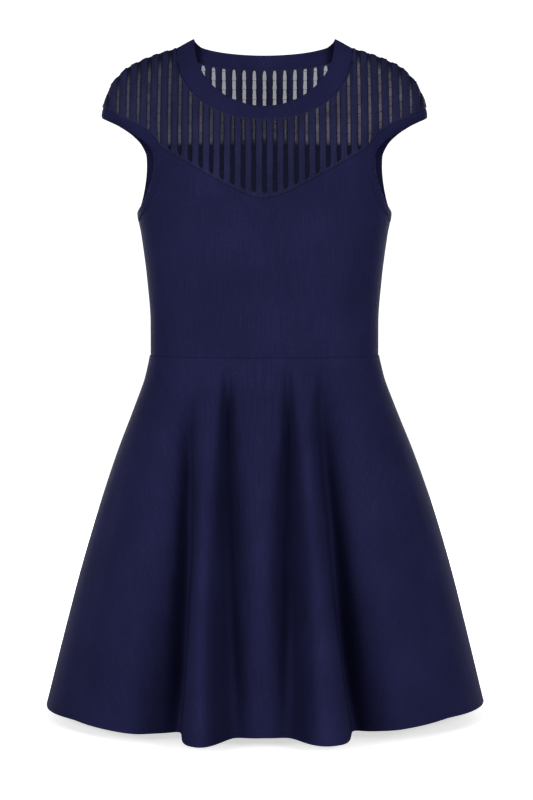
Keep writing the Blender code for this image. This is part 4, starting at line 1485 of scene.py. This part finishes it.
# %% A recipe of nodes
class Recipe:
    """One material and the nodes of its finish."""

    def __init__(self, name):
        self.material = bpy.data.materials.new(name)
        self.material.use_nodes = True
        self.tree = self.material.node_tree
        self.shader = self.tree.nodes["Principled BSDF"]

    def node(self, kind, settings, inputs, output=0):
        """Adds a node: its settings first, then the values or links of its inputs. Gives one output."""
        made = self.tree.nodes.new(kind)
        for setting, value in settings.items():
            setattr(made, setting, value)
        self.fill(made, inputs)
        return Value(self, made.outputs[output])

    def fill(self, node, inputs):
        for name, value in inputs.items():
            if isinstance(value, Value):
                self.tree.links.new(value.socket, node.inputs[name])
            else:
                node.inputs[name].default_value = value

    def place(self):
        """Where a point lies on the dress, in metres."""
        return self.node("ShaderNodeTexCoord", {}, {}, "Object")

    def flat_place(self):
        """How far across and along the flat cloth a point lies, in metres."""
        split = self.node("ShaderNodeSeparateXYZ", {}, {"Vector": self.node("ShaderNodeUVMap", {}, {})})
        return split, Value(self, split.socket.node.outputs["Y"])

    def noise(self, where, scale, detail):
        return self.node("ShaderNodeTexNoise", {}, {"Vector": where, "Scale": scale, "Detail": detail})

    def blend(self, share, first, second):
        """A colour that goes from the first to the second."""
        return self.node("ShaderNodeMix", {"data_type": "RGBA"}, {0: share, 6: first, 7: second}, 2)

    def mark(self, name):
        """A number that the mesh carries at each of its points."""
        return self.node("ShaderNodeAttribute", {"attribute_name": name}, {}, "Fac")


print("a recipe can add:", [name for name in vars(Recipe) if not name.startswith("_")])

# %% [markdown]
# ### Colours
#
# A shader counts in linear light, while people name a colour by its everyday numbers from 0 to 255. One
# function changes one into the other. The cloth has a darker and a lighter navy, and the ribs have a slightly
# greyer pair.


# %% Colours of the yarn
def colour(red, green, blue):
    """A colour from its everyday 0 to 255 numbers, as linear light."""

    def linear(n):
        n = n / 255
        return n / 12.92 if n <= 0.04045 else ((n + 0.055) / 1.055) ** 2.4

    return (linear(red), linear(green), linear(blue), 1.0)


NAVY = colour(29, 30, 61), colour(38, 39, 77)
RIB_NAVY = colour(30, 32, 58), colour(44, 46, 80)
# Painted shade: the darker navy of the net close to the ribs.
DENSE_NET_SHADE_NAVY = colour(22, 22, 46)
BLACK = colour(0, 0, 0)
print("navy in linear light:", [round(part, 4) for part in NAVY[0]])

# %% [markdown]
# ### Jersey
#
# The columns and rows of stitches are about a millimetre apart, so they hardly show as stitches, but as a
# shallow bump they soften the light. The tone varies in three ways: large faint clouds, streaks along the
# columns, since no two needles knit quite alike, and a grain nearly as fine as single stitches. Hollows get
# painted shade from their mark.

# %% Stitches and tone of the jersey
WALE = 0.0011
COURSE = 0.0008
WALE_SHARE, COURSE_SHARE = 0.6, 0.25
CLOUDS_PER_METRE = 14.0
GRAIN_PER_METRE = 620.0
STREAKS_ACROSS, STREAKS_ALONG = 900, 25
TONE_SHARES = {"clouds": 0.35, "streaks": 0.3, "grain": 0.35}
TONE_RANGE = (0.34, 0.66)
PAINTED_HOLLOW_SHADE = 0.80


def stitch_height(recipe):
    """The relief of the stitches: upright columns, each with its rows slanting to both sides."""
    across, along = recipe.flat_place()
    wale = (across * (math.pi / WALE)).sine().size()
    lean = ((across * (1 / WALE)).part() - 0.5).size()
    course = ((along * (1 / COURSE) + lean) * (2 * math.pi)).sine()
    return wale * WALE_SHARE + course * COURSE_SHARE


def jersey_tone(recipe, clouds, grain, dark, light):
    """The colour of the cloth, from its dark to its light tone, with painted shade in a hollow."""
    across, along = recipe.flat_place()
    stretch = {"X": across * STREAKS_ACROSS, "Y": along * STREAKS_ALONG}
    stretched = recipe.node("ShaderNodeCombineXYZ", {}, stretch)
    streaks = recipe.noise(stretched, 1.0, 2.0)
    tone = clouds * TONE_SHARES["clouds"] + streaks * TONE_SHARES["streaks"] + grain * TONE_SHARES["grain"]
    base = recipe.blend(tone.between(*TONE_RANGE), dark, light)
    # Painted shade: the colour is blended towards black by the mark of the hollows.
    return recipe.blend(recipe.mark("hollow") * PAINTED_HOLLOW_SHADE, base, BLACK)


print("stitches to a square centimetre:", round(1e-4 / (WALE * COURSE)))

# %% [markdown]
# ### Net
#
# The net's threads are finer than the eye can part at this distance, so the net is a thin cloth that is
# partly see-through: its cover says what share of it is thread. Close to a rib the net is nearly whole, in a
# navy darker than the rib's, which is painted shade. Threads are painted paler where daylight would come in
# from behind, unevenly: that is painted light.

# %% Net of the yokes
NET_FROM, NET_TO = 0.35, 0.65
GRAIN_IN_COVER = 0.2
DENSE_COVER = 0.97
GLOW_PATCHES_PER_METRE = 45.0
GLOW_UNEVENNESS, GLOW_LEAST = 1.6, 0.2

# Each net thread has a shaded tone and a lit tone: the lit tone is painted light.
NetThread = namedtuple("NetThread", "cover dark_tone lit_tone")
FRONT_NET = NetThread(0.70, colour(24, 23, 37), colour(112, 108, 118))
BACK_NET = NetThread(0.52, colour(40, 42, 84), colour(70, 72, 110))


def net_finish(recipe, place, grain, base, net_thread):
    """The colour and the alpha of cloth with net in its marked strips."""
    net, density_and_shade = recipe.mark("net").between(NET_FROM, NET_TO), recipe.mark("fringe")
    in_the_clear = net_thread.cover + (grain - 0.5) * GRAIN_IN_COVER
    cover = in_the_clear + (DENSE_COVER - in_the_clear) * density_and_shade
    uneven = recipe.noise(place, GLOW_PATCHES_PER_METRE, 1.0) * GLOW_UNEVENNESS + GLOW_LEAST
    # Painted light and shade: the painted backlight takes threads to their lit tone in uneven patches, and
    # close to a rib they take the painted-shade navy.
    thread = recipe.blend(recipe.mark("backlit") * uneven, net_thread.dark_tone, net_thread.lit_tone)
    thread = recipe.blend(density_and_shade, thread, DENSE_NET_SHADE_NAVY)
    return recipe.blend(net, base, thread), 1 - net * (1 - cover)


print("the front net covers", FRONT_NET.cover, "and the back net", BACK_NET.cover)

# %% [markdown]
# ### The finished knits
#
# Viscose jersey is matt, with a weak bluish shine from the tips of its fibres, which the sheen gives. The
# bands have the jersey's own finish, and the two striped materials differ from it only in their tones and
# their net, so one function makes all four.

# %% Knit materials
KNIT_SURFACE = {
    "Specular IOR Level": 0.05,
    "Specular Tint": (0.6, 0.65, 1.0, 1.0),
    "Sheen Weight": 0.02,
    "Sheen Roughness": 0.3,
    "Sheen Tint": (0.2, 0.26, 1.0, 1.0),
}
ROUGHNESS, ROUGHNESS_CLOUDS = 0.80, 0.08
STITCH_RELIEF = 0.35
STITCH_DEPTH = 0.0002


def knit(name, dark, light, net_thread=None):
    """Fine jersey in two tones, with net in its marked strips where a net thread is given."""
    recipe = Recipe(name)
    place = recipe.place()
    clouds, grain = recipe.noise(place, CLOUDS_PER_METRE, 3.0), recipe.noise(place, GRAIN_PER_METRE, 2.0)
    base = jersey_tone(recipe, clouds, grain, dark, light)
    if net_thread:
        base, alpha = net_finish(recipe, place, grain, base, net_thread)
        recipe.fill(recipe.shader, {"Alpha": alpha})
    stitches = {"Strength": STITCH_RELIEF, "Distance": STITCH_DEPTH, "Height": stitch_height(recipe)}
    recipe.fill(recipe.shader, {
        "Base Color": base,
        "Roughness": clouds * ROUGHNESS_CLOUDS + ROUGHNESS,
        "Normal": recipe.node("ShaderNodeBump", {}, stitches),
        **KNIT_SURFACE,
    })
    return recipe.material


jersey = knit("navy_jersey", *NAVY)
rib_knit = knit("band_knit", *NAVY)
front_stripes = knit("front_yoke_stripes", *RIB_NAVY, FRONT_NET)
back_stripes = knit("back_yoke_stripes", *RIB_NAVY, BACK_NET)
print("materials:", [material.name for material in (jersey, rib_knit, front_stripes, back_stripes)])

# %% [markdown]
# ### Dressing the pieces
#
# Each piece gets its material, the body it moves with, and the wall of the packed model that it replaces.
# The dress has one body, since cloth has no joints. Threads and stitches replace nothing: they lie on the
# cloth.


# %% Dress the pieces
def dressed(piece, material, slot, *nodes):
    """Gives a piece its material and its place in the frame."""
    piece.data.materials.clear()
    piece.data.materials.append(material)
    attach(piece, "root")
    if nodes:
        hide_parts(*nodes)


dressed(bodice_front, jersey, "navy_knit", "bodice_front")
dressed(bodice_back, jersey, "navy_knit", "bodice_back")
dressed(skirt_front_cloth, jersey, "navy_knit", "skirt_front")
dressed(skirt_back_cloth, jersey, "navy_knit", "skirt_back")
dressed(yoke_front, front_stripes, "ribbed_net", "yoke_front")
dressed(yoke_back, back_stripes, "ribbed_net", "yoke_back")
dressed(neck_band, rib_knit, "band_knit", "neck_band")
dressed(arm_band_left, rib_knit, "band_knit", "armhole_band_left")
dressed(arm_band_right, rib_knit, "band_knit", "armhole_band_right")
dressed(ladder_front, rib_knit, "ribbed_net")
dressed(ladder_back, rib_knit, "ribbed_net")
for piece in linking:
    dressed(piece, rib_knit, "navy_knit")
print("rows of stitches dressed:", len(linking))

# %% [markdown]
# ## Sheets of cloth
#
# The dress is made of nine pieces of cloth: two bodice panels, two skirt panels, two yokes and three bands.
# The area is given where the flat piece isn't a rectangle: the skirt's panels are taken as quarter rings
# with the area of the worn cloth, and the yokes and bodice panels have their curves cut out.

print("pieces of cloth: 9")

# %% [markdown]
# ## The studio
#
# The dress hangs just over a plain white table that curves up into a wall all the way round, so no edge shows
# behind it from any side. The table is a grid again: its columns run round and its rows run outwards and up.

# %% Table
FLOOR_CLEARANCE = 0.012
FLOOR = NECK_POINT_HEIGHT - HEM_DROP - FLOOR_CLEARANCE
TABLE_RINGS = (0, 0.5, 1, 2, 3.5)
TABLE_RADIUS = 5.0
TABLE_BEND = 1.5
TABLE_TOP = 5.0
TABLE_BEND_STEPS = 16
TABLE_TURNS = 97
WELD_DISTANCE = 1e-5


def lit_table():
    """A round white table that curves up into a wall all the way round."""
    bend = np.linspace(0, math.pi / 2, TABLE_BEND_STEPS)
    wall = TABLE_RADIUS + TABLE_BEND
    reach = np.concatenate([TABLE_RINGS, TABLE_RADIUS + TABLE_BEND * np.sin(bend), [wall]])
    level = np.zeros(len(TABLE_RINGS))
    height = np.concatenate([level, TABLE_BEND * (1 - np.cos(bend)), [TABLE_TOP]]) + FLOOR
    turns = np.linspace(0, 2 * math.pi, TABLE_TURNS)
    stage, column, row = flat_grid("lit_table", TABLE_TURNS, len(reach))
    x, y = reach[row] * np.cos(turns[column]), reach[row] * np.sin(turns[column])
    place_points(stage, np.stack([x, y, height[row]], axis=-1))
    bpy.ops.object.mode_set(mode="EDIT")
    bpy.ops.mesh.select_all(action="SELECT")
    bpy.ops.mesh.remove_doubles(threshold=WELD_DISTANCE)
    bpy.ops.mesh.normals_make_consistent(inside=True)
    bpy.ops.object.mode_set(mode="OBJECT")
    return stage


table = lit_table()
print("table faces:", len(table.data.polygons), "at height", round(FLOOR, 4))

# %% [markdown]
# ### A glowing table with a painted shadow
#
# A studio table glows evenly white, and a painted shadow makes its glow dimmer where the dress hangs over
# it. The glow is worked out from how far a point lies from the dress, in a slightly squeezed oval. The table
# throws no light back on the cloth, so that the lamps alone shape the folds.

# %% Glowing table with a painted shadow
SHADOW_STRETCH = (0.75, 1, 0)
SHADOW_FROM, SHADOW_TO = 0.17, 0.31
GLOW_IN_SHADOW, GLOW_GAIN = 0.60, 0.47

table_glow = Recipe("table_glow_with_painted_shadow")
squeeze = {0: table_glow.place(), 1: SHADOW_STRETCH}
squeezed = table_glow.node("ShaderNodeVectorMath", {"operation": "MULTIPLY"}, squeeze, "Vector")
from_dress = table_glow.node("ShaderNodeVectorMath", {"operation": "LENGTH"}, {0: squeezed}, "Value")
# Painted shadow: the glow falls from its full value to its shadow value close to the dress.
glow = from_dress.between(SHADOW_FROM, SHADOW_TO) * GLOW_GAIN + GLOW_IN_SHADOW
table_glow.fill(table_glow.shader, {
    "Base Color": (0.93, 0.93, 0.93, 1),
    "Roughness": 0.9,
    "Specular IOR Level": 0.0,
    "Emission Color": table_glow.node("ShaderNodeCombineColor", {}, {"Red": glow, "Green": glow, "Blue": glow}),
    "Emission Strength": 1.0,
})
table.data.materials.append(table_glow.material)
table.visible_diffuse = False
table.visible_glossy = False
full_glow = round(GLOW_IN_SHADOW + GLOW_GAIN, 2)
print("the table glows", GLOW_IN_SHADOW, "under the dress and", full_glow, "away from it")

# %% [markdown]
# ### Light
#
# Six softboxes stand in a ring round the dress: two strong ones in front, two strong ones behind that light
# the net from the back, and two weak ones at the sides, so the edges of the skirt go dark. A softbox overhead
# lights the shoulders, and a small lamp inside the bodice lights the inside of the back yoke. A faint even
# world fills the shadows.

# %% World and softboxes
WORLD_STRENGTH = 0.07
LAMP_TARGET = (0, 0, -0.38)
LAMP_DISTANCE = 2.6
LAMP_HEIGHT = -0.1
SOFTBOX_SIZE = 1.2

Softbox = namedtuple("Softbox", "name turn power")
SOFTBOXES = (
    Softbox("front_left_softbox", 40, 38),
    Softbox("front_right_softbox", -40, 40),
    Softbox("left_softbox", 95, 4),
    Softbox("right_softbox", -95, 4),
    Softbox("back_left_softbox", 152, 34),
    Softbox("back_right_softbox", -152, 34),
)

world = bpy.data.worlds.new("studio_light")
bpy.context.scene.world = world
world.use_nodes = True
world.node_tree.nodes["Background"].inputs["Color"].default_value = (1, 1, 1, 1)
world.node_tree.nodes["Background"].inputs["Strength"].default_value = WORLD_STRENGTH


def area_lamp(name, place, target, size, power):
    """A square soft light that looks at a point."""
    bpy.ops.object.light_add(type="AREA", location=place)
    lamp = bpy.context.object
    lamp.name = lamp.data.name = name
    lamp.data.size, lamp.data.energy = size, power
    away = [a - b for a, b in zip(place, target)]
    tilt = math.atan2(math.hypot(away[0], away[1]), away[2])
    lamp.rotation_euler = (tilt, 0, math.atan2(away[0], -away[1]))
    lamp.visible_camera = False


for softbox in SOFTBOXES:
    angle = math.radians(softbox.turn)
    place = (LAMP_DISTANCE * math.sin(angle), -LAMP_DISTANCE * math.cos(angle), LAMP_HEIGHT)
    area_lamp(softbox.name, place, LAMP_TARGET, SOFTBOX_SIZE, softbox.power)
area_lamp("top_softbox", place=(0, 0.3, 2.2), target=(0, 0, 0), size=SOFTBOX_SIZE, power=8)
area_lamp("inside_lamp", place=(0, -0.03, -0.20), target=(0, 0.10, -0.02), size=0.1, power=0.22)
print("lamps:", len(SOFTBOXES) + 2)

# %% [markdown]
# ### Camera
#
# The camera looks at the dress square from the front, from between bust and waist and very slightly down. A
# long lens from three metres away keeps the sleeves and the hem at nearly one scale. The Standard view
# transform keeps the navy as deep as it was mixed.

# %% Camera
CAMERA_PLACE = (0.0025, -3.16, NECK_POINT_HEIGHT - 0.257)
CAMERA_TILT = math.radians(86.7)
LENS = 115.6

bpy.ops.object.camera_add(location=CAMERA_PLACE, rotation=(CAMERA_TILT, 0, 0))
camera = bpy.context.object
camera.data.lens = LENS
bpy.context.scene.camera = camera
bpy.context.scene.view_settings.view_transform = "Standard"
print("camera at", tuple(round(n, 3) for n in camera.location))

# %% [markdown]
# ## Finish
#
